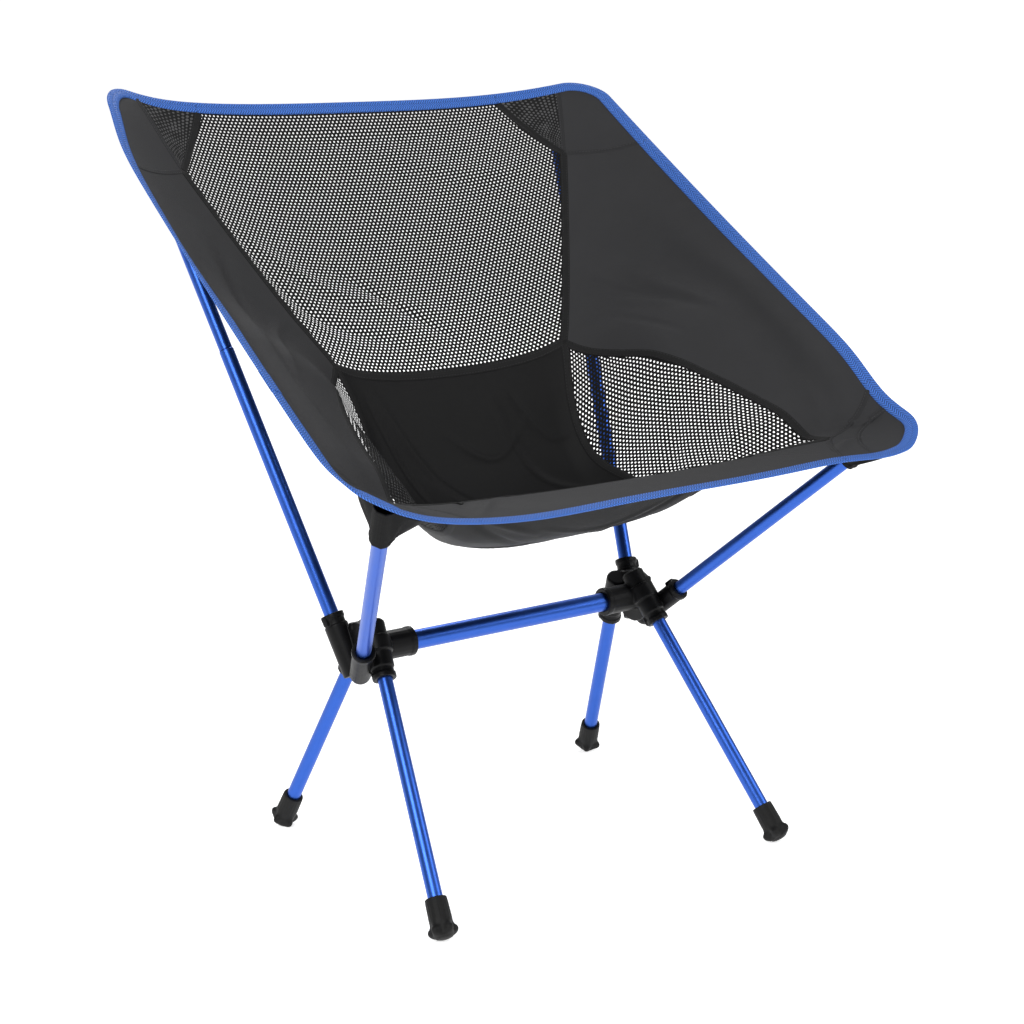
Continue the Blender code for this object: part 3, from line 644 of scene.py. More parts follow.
def foot_piece(name, line):
    """The rubber foot: a sleeve on the leg, a lobed rim and a domed sole with a shallow ring."""
    profile = (
        (0.0020, 0.0090), (0.0066, 0.0090), (0.0067, 0.0095), (0.0067, 0.0343), (0.0070, 0.0350),
        (0.0088, 0.0350), (0.0093, 0.0346), (0.0094, 0.0338), (0.0095, 0.0300), (0.0096, 0.0240),
        (0.0098, 0.0180), (0.0099, 0.0145), (0.0102, 0.0126), (0.0110, 0.0112), (0.0120, 0.0102),
        (0.0125, 0.0090), (0.0126, 0.0078), (0.0124, 0.0064), (0.0117, 0.0050), (0.0104, 0.0036),
        (0.0086, 0.0024), (0.0078, 0.0022), (0.0070, 0.0013), (0.0046, 0.0005), (0.0016, 0.0001),
    )
    matrix = line.matrix(foot_distance(line)) @ Matrix.Rotation(math.pi, 4, "X")
    return lathe(name, matrix, profile, "rubber", sides=80, ripple=foot_ripple)


def rounded_box(name, matrix, size, edge):
    """A box with rounded edges, for a lug that is to be melted into the hub."""
    mesh = bpy.data.meshes.new(name)
    shape = bmesh.new()
    bmesh.ops.create_cube(shape, size=1.0)
    bmesh.ops.scale(shape, verts=shape.verts, vec=size)
    bmesh.ops.bevel(shape, geom=shape.edges[:], offset=edge, segments=3, affect="EDGES", profile=0.5)
    bmesh.ops.transform(shape, verts=shape.verts, matrix=matrix)
    shape.to_mesh(mesh)
    shape.free()
    return mesh


# Thickened stretches of the hub's sockets: line, first and last distance along it, and radius.
HUB_BARS = (
    ("pole", -0.0185, 0.0285, 0.0108),
    ("front_leg", -0.0205, 0.0225, 0.0108),
    ("rear_leg", -0.0095, 0.0330, 0.0102),
    ("front_leg", -0.0060, 0.0080, 0.0128),
)
# The lugs at the sockets' mouths: how far round each stands, in degrees, and one lug's size and place.
HUB_LUGS = (("front_leg", (-35, 35)), ("pole", (0,)), ("arm", (180,)), ("rear_leg", (90,)))
LUG_SIZE, LUG_EDGE, LUG_REACH, LUG_BACK = (0.0044, 0.0060, 0.0085), 0.0012, 0.0100, 0.0055
WEB_TOP, WEB_LUG_SIZE, WEB_LUG_EDGE = (0.1495, 0.0050, 0.2170), (0.0125, 0.0075, 0.0060), 0.0015
HUB_VOXEL, HUB_SMOOTHING = 0.0006, 9


def hub_lugs(side, name):
    """The hub's small blocks: one or two at each socket's mouth, and two on top of the web."""
    lugs = []
    for label, spots in HUB_LUGS:
        line = Line(label, side)
        for turn in spots:
            angle = math.radians(90 + side * (90 + turn) if label == "pole" else -90 + turn)
            matrix = line.matrix(SOCKET_MOUTHS[label] - LUG_BACK) @ Matrix.Rotation(angle, 4, "Z")
            matrix = matrix @ Matrix.Translation((LUG_REACH, 0, 0))
            lugs.append(rounded_box(f"{name}_{label}_lug", matrix, LUG_SIZE, LUG_EDGE))
    x, y, z = WEB_TOP
    for reach in (-0.013, 0.013):
        spot = Matrix.Translation((side * x, y + SHIFT_Y + reach, z))
        lugs.append(rounded_box(f"{name}_web_lug", spot, WEB_LUG_SIZE, WEB_LUG_EDGE))
    return lugs


def softened(name, rough):
    """A mesh remeshed as one skin and smoothed, so that every inside corner becomes a fillet."""
    draft = bpy.data.objects.new(f"{name}_rough", rough)
    bpy.context.scene.collection.objects.link(draft)
    remesh = draft.modifiers.new("Skin", "REMESH")
    remesh.mode = "VOXEL"
    remesh.voxel_size = HUB_VOXEL
    soften = draft.modifiers.new("Fillets", "SMOOTH")
    soften.factor = 0.5
    soften.iterations = HUB_SMOOTHING
    bpy.context.view_layer.update()
    made = bpy.data.meshes.new_from_object(draft.evaluated_get(bpy.context.evaluated_depsgraph_get()))
    bpy.data.objects.remove(draft)
    bpy.data.meshes.remove(rough)
    return made


def hub_piece(side, name):
    """The moulded hub: the CAD hub, thickened, with its lugs, melted into one body with fillets."""
    skin = bmesh.new()
    skin.from_mesh(frame["nodes"][f"hub_{name}"].data)
    bmesh.ops.remove_doubles(skin, verts=skin.verts, dist=1e-5)
    for label, first, last, radius in HUB_BARS:
        centre = Line(label, side).matrix((first + last) / 2)
        bmesh.ops.create_cone(skin, cap_ends=True, segments=48, radius1=radius, radius2=radius,
                              depth=last - first, matrix=centre)
    for lug in hub_lugs(side, name):
        skin.from_mesh(lug)
        bpy.data.meshes.remove(lug)
    rough = bpy.data.meshes.new(f"{name}_rough")
    skin.to_mesh(rough)
    skin.free()
    mesh = softened(name, rough)
    mesh.name = f"hub_body_{name}"
    mesh.shade_smooth()
    mesh.materials.clear()
    mesh.materials.append(finish("plastic"))
    piece = bpy.data.objects.new(mesh.name, mesh)
    collection().objects.link(piece)
    return piece


# Pockets


def nearest_uv(point, middle):
    """The (u, v) of the fabric nearest to a point, looked for round a first guess."""
    u, v = np.meshgrid(np.linspace(-0.16, 0.16, 121), np.linspace(-0.20, 0.20, 121))
    uv = np.stack([middle[0] + u, middle[1] + v], -1)
    gap = np.linalg.norm(taut(uv) - np.array(point), axis=-1)
    return uv[np.unravel_index(gap.argmin(), gap.shape)]


def pocket_piece(name, line, tip, label, foot, seed):
    """A corner pocket: cloth gathered from a wide oval seam under the sling to a round mouth on the tube.

    A ring's centre slides along the tube, and its radius grows from the mouth's to the seam's by a
    power of the height, so that it hugs the tube first and flares last. Creases run up it, and it
    has two skins: the rings go up the outer one and come down the inner one.
    """
    size, mouth, tube, flare = POCKETS[label]
    along_u, along_v, normal = directions(foot)
    angle = np.linspace(0, 2 * np.pi, POCKET_COLUMNS, endpoint=False)
    shift = np.stack([size[0] * np.cos(angle) / np.linalg.norm(along_u),
                      size[1] * np.sin(angle) / np.linalg.norm(along_v)], -1)
    ring = foot + shift * (np.sign(foot[0]), 1)
    ring = np.stack([np.clip(ring[:, 0], -0.985, 0.985), np.clip(ring[:, 1], 0.012, 0.992)], -1)
    top, top_normal = cloth(ring)
    axis, end, base = (np.array(way) for way in (line.direction, line.at(tip), line.at(tip - mouth)))
    top = top + top_normal * np.sign((end - taut(foot)) @ normal) * POCKET_DROP
    spoke = (top - end) - ((top - end) @ axis)[:, None] * axis
    reach = np.linalg.norm(spoke, axis=1)
    height = np.linspace(0, 1, POCKET_ROWS)[:, None, None]
    rise = ((top - base) @ axis)[None, :, None] * height
    grown = (reach[None, :, None] - tube) * height**flare
    crease = (np.sin(7 * angle + seed) * 0.6 + np.sin(11 * angle + 2.1 * seed) * 0.4)[None, :, None]
    crease = crease * np.sin(np.pi * height) ** 0.8 * CREASE_DEPTH * (0.35 + height)
    hem = 0.0005 * np.exp(-(((height - 0.09) / 0.02) ** 2))
    hem = hem - 0.0004 * np.exp(-(((height - 0.16) / 0.03) ** 2))
    outer = base + rise * axis + unit(spoke)[None] * np.maximum(tube + grown + crease + hem, tube)
    inner = outer - unit(spoke)[None] * POCKET_WALL
    points = np.concatenate([outer, inner[::-1]])
    rows = len(points)
    faces, flat_faces = grid_faces(rows, POCKET_COLUMNS, wrap_rows=True, wrap_columns=True)
    around, up = np.linspace(0, 0.10, POCKET_COLUMNS + 1), np.linspace(0, 0.09, rows + 1)
    flat = np.stack(np.broadcast_arrays(around[None], up[:, None]), -1)
    if not faces_along(points, faces, spoke[0]):
        faces, flat_faces = faces[:, ::-1], flat_faces[:, ::-1]
    # The pocket's finish is the seat's black cloth made darker: painted shade.
    piece = new_piece(name, points, faces, "pouch_painted_shade", flat, flat_faces)
    return piece


# Finishes


class Graph:
    """Short ways to add nodes to a material's or a group's tree."""

    def __init__(self, tree):
        self.tree = tree

    def put(self, socket, value):
        if isinstance(value, bpy.types.NodeSocket):
            self.tree.links.new(value, socket)
        else:
            socket.default_value = value

    def node(self, kind, settings=(), **inputs):
        """A node. An input is named by its label, or i0, i1 ... by its place."""
        made = self.tree.nodes.new(kind)
        for key, value in dict(settings).items():
            setattr(made, key, value)
        for key, value in inputs.items():
            self.put(made.inputs[int(key[1:])] if key[1:].isdigit() else made.inputs[key], value)
        return made

    def math(self, operation, first, second=0.0):
        return self.node("ShaderNodeMath", {"operation": operation}, i0=first, i1=second).outputs[0]

    def mix(self, share, first, second):
        made = self.node("ShaderNodeMix", {"data_type": "RGBA"}, i0=share)
        self.put(made.inputs[6], first)
        self.put(made.inputs[7], second)
        return made.outputs[2]

    def noise(self, place, scale, detail=3.0):
        return self.node("ShaderNodeTexNoise", Vector=place, Scale=scale, Detail=detail).outputs[0]

    def wave(self, value, period):
        """A sine of a coordinate, from -1 to 1."""
        turn = self.math("DIVIDE", self.math("MULTIPLY", value, 2 * math.pi), period)
        return self.math("SINE", turn)

    def cloth(self):
        """The piece's own UV map, in metres: its vector, and its two coordinates."""
        place = self.node("ShaderNodeUVMap", {"uv_map": "Cloth"}).outputs[0]
        split = self.node("ShaderNodeSeparateXYZ", i0=place)
        return place, split.outputs[0], split.outputs[1]

    def output(self, **sockets):
        ends = self.tree.nodes.new("NodeGroupOutput")
        for label, socket in sockets.items():
            self.tree.interface.new_socket(name=label, in_out="OUTPUT", socket_type="NodeSocketFloat")
            self.tree.links.new(socket, ends.inputs[label])


def plain_weave(graph, pitch):
    """Threads over and under each other: the product of two sines, with slubs and slow cloudiness."""
    place, x, y = graph.cloth()
    threads = graph.math("MULTIPLY", graph.wave(x, pitch), graph.wave(y, pitch))
    fine = graph.math("ADD", graph.math("MULTIPLY", threads, 0.5), graph.noise(place, 520.0))
    crumple = graph.math("MULTIPLY", graph.noise(place, 38.0, 4.0), 7.0)
    height = graph.math("ADD", fine, crumple)
    graph.output(Height=height, Thread=threads, Cloud=graph.noise(place, 22.0, 5.0))


def herringbone(graph, pitch):
    """Slanted ribs that turn back from each column of the tape to the next. The tape's colour follows this
    height: painted shade in the grooves between ribs and along the spine between columns, painted highlight
    on the rib tops.
    """
    place, x, y = graph.cloth()
    column = graph.math("PINGPONG", y, TAPE_COLUMN)
    slant = graph.math("ADD", x, graph.math("MULTIPLY", column, 0.9))
    ribs = graph.math("ADD", graph.math("MULTIPLY", graph.wave(slant, pitch), 0.5), 0.5)
    spine = graph.math("MINIMUM", graph.math("ADD", graph.math("MULTIPLY", column, 1600.0), 0.35), 1.0)
    graph.output(Height=graph.math("MULTIPLY", ribs, spine), Thread=ribs, Cloud=graph.noise(place, 160.0))


def doubled_net(graph, pitch):
    """Two nets laid over each other: staggered specks of light where their holes meet."""
    place, x, y = graph.cloth()
    row = graph.math("DIVIDE", y, graph.math("MULTIPLY", pitch, 0.78))
    shift = graph.math("MULTIPLY", graph.math("PINGPONG", graph.math("FLOOR", row), 1.0), 0.5)
    across = graph.math("ADD", graph.math("DIVIDE", x, pitch), shift)
    dx = graph.math("SUBTRACT", graph.math("FRACT", across), 0.5)
    dy = graph.math("SUBTRACT", graph.math("FRACT", row), 0.5)
    squares = graph.math("ADD", graph.math("MULTIPLY", dx, dx), graph.math("MULTIPLY", dy, dy))
    away = graph.math("SQRT", squares)
    cloud = graph.noise(place, 70.0)
    speck = graph.math("GREATER_THAN", graph.math("MULTIPLY", cloud, 0.62), away)
    graph.output(Height=graph.math("SUBTRACT", 1.0, speck), Thread=speck, Cloud=cloud)


def stitches(graph, pitch):
    """Two rows of lockstitch along a band: short dashes with a gap between each two."""
    place, x, y = graph.cloth()
    middle = graph.math("SUBTRACT", graph.math("PINGPONG", y, SEAM_WIDTH), SEAM_WIDTH / 2)
    row = graph.math("ABSOLUTE", graph.math("SUBTRACT", graph.math("ABSOLUTE", middle), STITCH_ROW))
    row = graph.math("SUBTRACT", 1.0, graph.math("MINIMUM", graph.math("MULTIPLY", row, 2000.0), 1.0))
    thread = graph.math("MULTIPLY", row, graph.math("GREATER_THAN", graph.wave(x, pitch), -0.45))
    weave = graph.math("MULTIPLY", graph.wave(x, 0.0011), graph.wave(y, 0.0011))
    height = graph.math("ADD", thread, graph.math("MULTIPLY", weave, 0.12))
    graph.output(Height=height, Thread=thread, Cloud=graph.noise(place, 90.0))


def drawn_metal(graph, pitch):
    """Fine draw lines along a tube: noise stretched along its length."""
    place, _, _ = graph.cloth()
    across = graph.math("DIVIDE", 0.5, pitch)
    stretch = graph.node("ShaderNodeCombineXYZ", i0=across, i1=12.0, i2=1.0).outputs[0]
    lines = graph.noise(graph.node("ShaderNodeMapping", Vector=place, Scale=stretch).outputs[0], 1.0)
    graph.output(Height=lines, Thread=lines, Cloud=graph.noise(place, 60.0, 4.0))


def moulded(graph, pitch):
    """The fine grain that a textured mould leaves, over slow waves in the surface."""
    place = graph.node("ShaderNodeTexCoord").outputs["Object"]
    grain = graph.noise(place, graph.math("DIVIDE", 1.0, pitch), 2.0)
    slow = graph.noise(place, 130.0)
    height = graph.math("ADD", grain, graph.math("MULTIPLY", slow, 0.8))
    graph.output(Height=height, Thread=grain, Cloud=slow)


def effect(pattern):
    """The shared node group of a pattern, built once, with the pattern's pitch as its input."""
    group = bpy.data.node_groups.get(pattern.__name__)
    if group is None:
        group = bpy.data.node_groups.new(pattern.__name__, "ShaderNodeTree")
        group.interface.new_socket(name="Pitch", in_out="INPUT", socket_type="NodeSocketFloat")
        pattern(Graph(group), group.nodes.new("NodeGroupInput").outputs["Pitch"])
    return group


def shade(colour, share):
    """A colour made darker or lighter, with full alpha."""
    return (colour[0] * share, colour[1] * share, colour[2] * share, 1.0)


class Finish:
    """One finish: its pattern and pitch, two colours and the output that mixes them, and its gloss."""

    def __init__(self, pattern, pitch, dark, light, mask="Cloud", rough=0.7, bump=0.3, depth=0.2 * MM,
                 metallic=0.0, specular=0.25):
        self.pattern, self.pitch, self.dark, self.light, self.mask = pattern, pitch, dark, light, mask
        self.rough, self.bump, self.depth = rough, bump, depth
        self.metallic, self.specular = metallic, specular


WEAVE_PITCH, GRAIN_PITCH, DRAW_PITCH, STITCH_PITCH = 0.0009, 0.0004, 0.0006, 0.0032
THICK_THREAD = 0.4 * MM
ROUGHNESS_SWING = 0.2


def finishes():
    """Every finish of the chair, by its material's name."""
    fabric, metal = SETTINGS.fabric, SETTINGS.metal
    side, seat, tape, tube = fabric.side_colour, fabric.seat_colour, fabric.tape_colour, metal.tube_colour
    return {
        "seat": Finish(plain_weave, WEAVE_PITCH, shade(seat, 0.5), shade(seat, 0.95),
                       rough=0.55, bump=0.4, specular=0.15),
        # Painted shade: the pockets are of the seat's black cloth, but are drawn in darker copies of its
        # colour.
        "pouch_painted_shade": Finish(plain_weave, WEAVE_PITCH, shade(seat, 0.3), shade(seat, 0.6),
                        bump=0.4, specular=0.07),
        "side": Finish(plain_weave, WEAVE_PITCH, shade(side, 0.82), shade(side, 1.18)),
        "net": Finish(plain_weave, WEAVE_PITCH, shade(seat, 0.4), shade(seat, 0.8), bump=0.5, specular=0.15),
        "net_patch": Finish(doubled_net, 0.0040, shade(seat, 0.5), (0.085, 0.085, 0.087, 1), "Thread",
                            bump=0.5),
        "seam": Finish(stitches, STITCH_PITCH, shade(seat, 0.75), shade(seat, 2.0), "Thread",
                       bump=0.8, depth=THICK_THREAD),
        "side_seam": Finish(stitches, STITCH_PITCH, shade(side, 0.75), shade(side, 1.5), "Thread",
                            bump=0.8, depth=THICK_THREAD),
        # The tape's colour is mixed by its rib height: painted shade in the grooves and along the spines,
        # painted highlight on the rib tops.
        "tape": Finish(herringbone, 0.0026, shade(tape, 0.35), shade(tape, 1.25), "Height",
                       rough=0.6, bump=0.8, depth=THICK_THREAD),
        "anodised": Finish(drawn_metal, DRAW_PITCH, shade(tube, 0.88), shade(tube, 1.12),
                           rough=metal.roughness, bump=0.05, depth=0.05 * MM, metallic=1.0, specular=0.5),
        "bare": Finish(drawn_metal, DRAW_PITCH, (0.62, 0.62, 0.64, 1), (0.78, 0.78, 0.80, 1),
                       rough=0.35, bump=0.1, metallic=1.0, specular=0.5),
        "plastic": Finish(moulded, GRAIN_PITCH, (0.003, 0.003, 0.0033, 1), (0.006, 0.006, 0.0065, 1),
                          rough=0.42, bump=0.25, depth=0.1 * MM, specular=0.16),
        "rubber": Finish(moulded, GRAIN_PITCH, (0.004, 0.004, 0.004, 1), (0.008, 0.008, 0.008, 1),
                         rough=0.6, depth=0.1 * MM),
        "cord": Finish(moulded, 0.0008, (0.02, 0.02, 0.02, 1), (0.05, 0.05, 0.05, 1), rough=0.85, bump=0.5),
    }


def finish(name):
    """The material of that name, built the first time it is asked for."""
    made = bpy.data.materials.get(name)
    if made is not None:
        return made
    look = finishes()[name]
    made = bpy.data.materials.new(name)
    made.use_nodes = True
    graph = Graph(made.node_tree)
    shader = made.node_tree.nodes["Principled BSDF"]
    source = graph.node("ShaderNodeGroup", {"node_tree": effect(look.pattern)}, Pitch=look.pitch).outputs
    shader.inputs["Metallic"].default_value = look.metallic
    shader.inputs["Specular IOR Level"].default_value = look.specular
    graph.put(shader.inputs["Base Color"], graph.mix(source[look.mask], look.dark, look.light))
    swing = graph.math("MULTIPLY", graph.math("SUBTRACT", source["Cloud"], 0.5), ROUGHNESS_SWING)
    graph.put(shader.inputs["Roughness"], graph.math("ADD", swing, look.rough))
    bumped = graph.node("ShaderNodeBump", Strength=look.bump, Distance=look.depth, Height=source["Height"])
    graph.put(shader.inputs["Normal"], bumped.outputs[0])
    return made


# Settings


class CHAIR_PG_fabric(PropertyGroup):
    """The sling's cloth, net and tape."""

    side_colour: FloatVectorProperty(
        name="Side fabric", description="Charcoal polyester of the sides and the front band",
        subtype="COLOR", size=3, min=0, max=1, default=(0.032, 0.032, 0.034))
    # The pockets take darker copies of this colour: painted shade.
    seat_colour: FloatVectorProperty(
        name="Seat fabric", description="Black polyester of the seat and the pockets",
        subtype="COLOR", size=3, min=0, max=1, default=(0.013, 0.013, 0.0135))
    tape_colour: FloatVectorProperty(
        name="Edge tape", description="Blue herringbone tape that binds the edge",
        subtype="COLOR", size=3, min=0, max=1, default=(0.062, 0.185, 0.640))
    thickness: FloatProperty(
        name="Cloth thickness", description="Thickness of the woven panels", unit="LENGTH", default=0.0007)
    pitch: FloatProperty(
        name="Hole pitch", description="Distance between holes along a row of the net",
        unit="LENGTH", default=0.0044)
    row_pitch: FloatProperty(
        name="Row pitch", description="Distance between rows of holes", unit="LENGTH", default=0.0034)
    hole: FloatProperty(
        name="Hole size", description="Diameter of the net's holes", unit="LENGTH", default=0.00198)
    fold_depth: FloatProperty(
        name="Fold depth", description="How deep the folds and creases are, 1 as worn in",
        subtype="FACTOR", min=0, max=3, default=1.0)


class CHAIR_PG_metal(PropertyGroup):
    """The tubes."""

    tube_colour: FloatVectorProperty(
        name="Tubes", description="Anodised colour of the tubes", subtype="COLOR", size=3, min=0, max=1,
        default=(0.042, 0.120, 0.500))
    roughness: FloatProperty(
        name="Tube roughness", description="How satin the anodising is", subtype="FACTOR",
        min=0, max=1, default=0.36)


class CHAIR_PG_stage(PropertyGroup):
    """Camera, floor and lights."""

    lens: FloatProperty(
        name="Lens", description="Focal length on a 36 mm sensor", default=69.6, min=20, max=200)
    key_power: FloatProperty(
        name="Key light", description="Power of the key light", unit="POWER", default=45.0)
    sky: FloatProperty(name="Sky", description="Brightness of the surroundings", default=0.35, min=0, max=5)
    floor_glow: FloatProperty(
        name="Floor glow", description="Light of the floor itself", default=0.71, min=0, max=5)


class Settings:
    """What the shapes and finishes read: the scene's property groups, filled in by each operator."""

    fabric = metal = stage = None


SETTINGS = Settings()


def read_settings(scene):
    """Takes over what the sidebar's property groups hold now."""
    SETTINGS.fabric, SETTINGS.metal = scene.chair_fabric, scene.chair_metal
    SETTINGS.stage = scene.chair_stage


def take(piece, slot_name, *nodes):
    """Lets a new piece stand in for CAD nodes by hiding them; slot_name is not used."""
    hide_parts(*nodes)


CAMERA_PLACE, CAMERA_FORWARD = (-0.9594, -1.4449 + SHIFT_Y, 0.7367), (0.53814, 0.80711, -0.24286)
CAMERA_ROLL, SENSOR = math.radians(-0.2), 36.0
LIGHTS_AIM, FLOOR_RADIUS = Vector((0, 0, 0.35)), 40.0


class CHAIR_OT_stage(Operator):
    """Makes the camera, the pale floor and the soft lights"""

    bl_idname = "chair.stage"
    bl_label = "Stage"

    def execute(self, context):
        read_settings(context.scene)
        stage, scene = SETTINGS.stage, context.scene
        camera = bpy.data.objects.new("camera", bpy.data.cameras.new("camera"))
        camera.data.lens = stage.lens
        camera.data.sensor_width = SENSOR
        camera.data.clip_start = 0.05
        roll = Matrix.Rotation(CAMERA_ROLL, 4, "Z").to_quaternion()
        turn = Vector(CAMERA_FORWARD).to_track_quat("-Z", "Y") @ roll
        camera.matrix_world = Matrix.Translation(CAMERA_PLACE) @ turn.to_matrix().to_4x4()
        scene.collection.objects.link(camera)
        scene.camera = camera
        self.add_floor()
        lights = (
            ("key", (-1.9, -1.3, 2.1), 1.5, stage.key_power),
            ("fill", (1.9, -1.7, 1.7), 1.6, stage.key_power * 0.5),
            ("back", (0.9, 2.1, 2.2), 1.4, stage.key_power * 0.6),
        )
        for name, place, size, power in lights:
            light = bpy.data.lights.new(name, "AREA")
            light.shape, light.size, light.energy = "DISK", size, power
            lamp = bpy.data.objects.new(name, light)
            aim = (LIGHTS_AIM - Vector(place)).to_track_quat("-Z", "Y")
            lamp.matrix_world = Matrix.Translation(place) @ aim.to_matrix().to_4x4()
            scene.collection.objects.link(lamp)
        self.add_sky(stage.sky)
        scene.view_settings.view_transform = "Standard"
        return {"FINISHED"}

    def add_sky(self, strength):
        """White behind the chair, and a softer grey everywhere for what the chair reflects."""
        world = bpy.data.worlds.new("sky")
        world.use_nodes = True
        graph = Graph(world.node_tree)
        seen = graph.node("ShaderNodeLightPath").outputs["Is Camera Ray"]
        back = world.node_tree.nodes["Background"]
        back.inputs["Color"].default_value = (1.0, 1.0, 1.0, 1.0)
        white = graph.math("MULTIPLY", seen, 1.1)
        graph.put(back.inputs["Strength"], graph.math("MAXIMUM", white, strength))
        bpy.context.scene.world = world

    def add_floor(self):
        """A wide flat disc, pale enough to meet the sky with no line between them."""
        mesh = bpy.data.meshes.new("floor")
        shape = bmesh.new()
        bmesh.ops.create_circle(shape, cap_ends=True, segments=64, radius=FLOOR_RADIUS)
        shape.to_mesh(mesh)
        shape.free()
        paint = bpy.data.materials.new("floor")
        paint.use_nodes = True
        shader = paint.node_tree.nodes["Principled BSDF"]
        shader.inputs["Base Color"].default_value = (0.90, 0.90, 0.90, 1.0)
        shader.inputs["Roughness"].default_value = 0.9
        shader.inputs["Specular IOR Level"].default_value = 0.0
        shader.inputs["Emission Color"].default_value = (1.0, 1.0, 1.0, 1.0)
        shader.inputs["Emission Strength"].default_value = SETTINGS.stage.floor_glow
        mesh.materials.append(paint)
        floor = bpy.data.objects.new("floor", mesh)
        bpy.context.scene.collection.objects.link(floor)


class CHAIR_OT_tubes(Operator):
    """Makes the smooth anodised tubes over the CAD ones"""

    bl_idname = "chair.tubes"
    bl_label = "Tubes"

    def execute(self, context):
        read_settings(context.scene)
        middle = Matrix.Translation((-CROSSBAR_END, CROSSBAR_Y + SHIFT_Y, CROSSBAR_Z))
        along_x = Matrix.Rotation(math.pi / 2, 4, "Y")
        bar = pipe("crossbar_skin", middle @ along_x, 2 * CROSSBAR_END, CROSSBAR_R)
        take(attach(bar, ROOT), "anodised_tube", "crossbar")
        for side, name in SIDES:
            for label in ("front_leg", "rear_leg"):
                line = Line(label, side)
                first, last = TUBE_STARTS[label], foot_distance(line) - FOOT_SOCKET_BOTTOM - TUBE_GAP
                tube = pipe(f"{label}_skin_{name}", line.matrix(first), last - first, TUBE_R)
                take(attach(tube, f"{label}_{name}"), "anodised_tube", f"{label}_tube_{name}")
            spans = (
                ("front_arm", "arm", TUBE_STARTS["arm"], ARM_LENGTH_OUT, TUBE_R),
                ("rear_pole_lower", "pole", TUBE_STARTS["pole"], POLE_STEP, LOWER_POLE_R),
                ("rear_pole_upper", "pole", POLE_STEP + TUBE_GAP, POLE_LENGTH_OUT, UPPER_POLE_R),
            )
            for node, label, first, last, radius in spans:
                tube = pipe(f"{node}_skin_{name}", Line(label, side).matrix(first), last - first, radius)
                take(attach(tube, ROOT), "anodised_tube", f"{node}_{name}")
        return {"FINISHED"}


class CHAIR_OT_hubs(Operator):
    """Makes the moulded hubs"""

    bl_idname = "chair.hubs"
    bl_label = "Hubs"

    def execute(self, context):
        read_settings(context.scene)
        for side, name in SIDES:
            take(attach(hub_piece(side, name), ROOT), "hub_plastic", f"hub_{name}")
        return {"FINISHED"}


class CHAIR_OT_feet(Operator):
    """Makes the rubber feet"""

    bl_idname = "chair.feet"
    bl_label = "Feet"

    def execute(self, context):
        read_settings(context.scene)
        for side, name in SIDES:
            for label in ("front_leg", "rear_leg"):
                foot = foot_piece(f"{label}_shoe_{name}", Line(label, side))
                take(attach(foot, f"{label}_{name}"), "foot_rubber", f"{label}_foot_{name}")
        return {"FINISHED"}


class CHAIR_OT_inner_parts(Operator):
    """Gives the cords, plugs, ferrules and tips inside the tubes their finishes"""

    bl_idname = "chair.inner_parts"
    bl_label = "Inner parts"

    def execute(self, context):
        read_settings(context.scene)
        for name, node in frame["nodes"].items():
            if "_cord" in name:
                self.paint(node, "cord")
            elif "_plug" in name or "_tip" in name:
                self.paint(node, "plastic")
            elif "_ferrule" in name:
                self.paint(node, "bare")
        return {"FINISHED"}

    def paint(self, node, finish_name):
        node.data.materials.clear()
        node.data.materials.append(finish(finish_name))


def mirrored(line, side):
    """A grid in (u, v) on the side asked for, run so that its surface keeps facing the sitter."""
    return line if side > 0 else line[..., ::-1, :] * (-1, 1)


class CHAIR_OT_panels(Operator):
    """Makes the woven panels: seat, front band and sides"""

    bl_idname = "chair.panels"
    bl_label = "Woven panels"

    def execute(self, context):
        read_settings(context.scene)
        thickness = SETTINGS.fabric.thickness
        left = curve(SEAT_SEAM, 190) * (-1, 1)
        grid = between(left, left * (-1, 1), 130).swapaxes(0, 1)
        seat = sheet_piece("seat_cloth", grid, "seat", thickness)
        take(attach(seat, ROOT), "seat_polyester", "seat_panel")
        junction = np.array(FRONT_JUNCTION)
        front = edge_run(-FRONT_PATCH_K[0], FRONT_PATCH_K[0], 170)
        back = curve((junction * (-1, 1), junction), 170)
        band = sheet_piece("front_band_cloth", between(front, back, 36), "side", thickness)
        take(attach(band, ROOT), "side_polyester", "front_band")
        for side, name in SIDES:
            seam = np.concatenate([curve(SIDE_SEAM, 130), curve(BACK_SEAM, 70)[1:]])
            edge = edge_run(FRONT_PATCH_K[1], REAR_PATCH_K[0], len(seam))
            grid = mirrored(between(seam, edge, 64).swapaxes(0, 1), side)
            panel = sheet_piece(f"side_cloth_{name}", grid, "side", thickness)
            take(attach(panel, ROOT), "side_polyester", f"side_panel_{name}")
        return {"FINISHED"}


class CHAIR_OT_nets(Operator):
    """Makes the open nets of the back and beside the seat"""

    bl_idname = "chair.nets"
    bl_label = "Nets"

    def execute(self, context):
        read_settings(context.scene)
        right = np.concatenate([curve(BACK_SEAM, 30), ((REAR_PATCH_U, 0.997),)])
        loop = np.concatenate([right, right[::-1] * (-1, 1)])
        net = net_piece("back_net", loop, 0.86, 0.2)
        take(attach(net, ROOT), "mesh_fabric", "back_mesh")
        for side, name in SIDES:
            loop = np.concatenate([curve(SIDE_SEAM, 50), curve(SEAT_SEAM, 50)[::-1]]) * (side, 1)
            net = net_piece(f"side_net_{name}", loop, 0.42, 0.62 * side)
            take(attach(net, ROOT), "mesh_fabric", f"side_mesh_{name}")
        return {"FINISHED"}


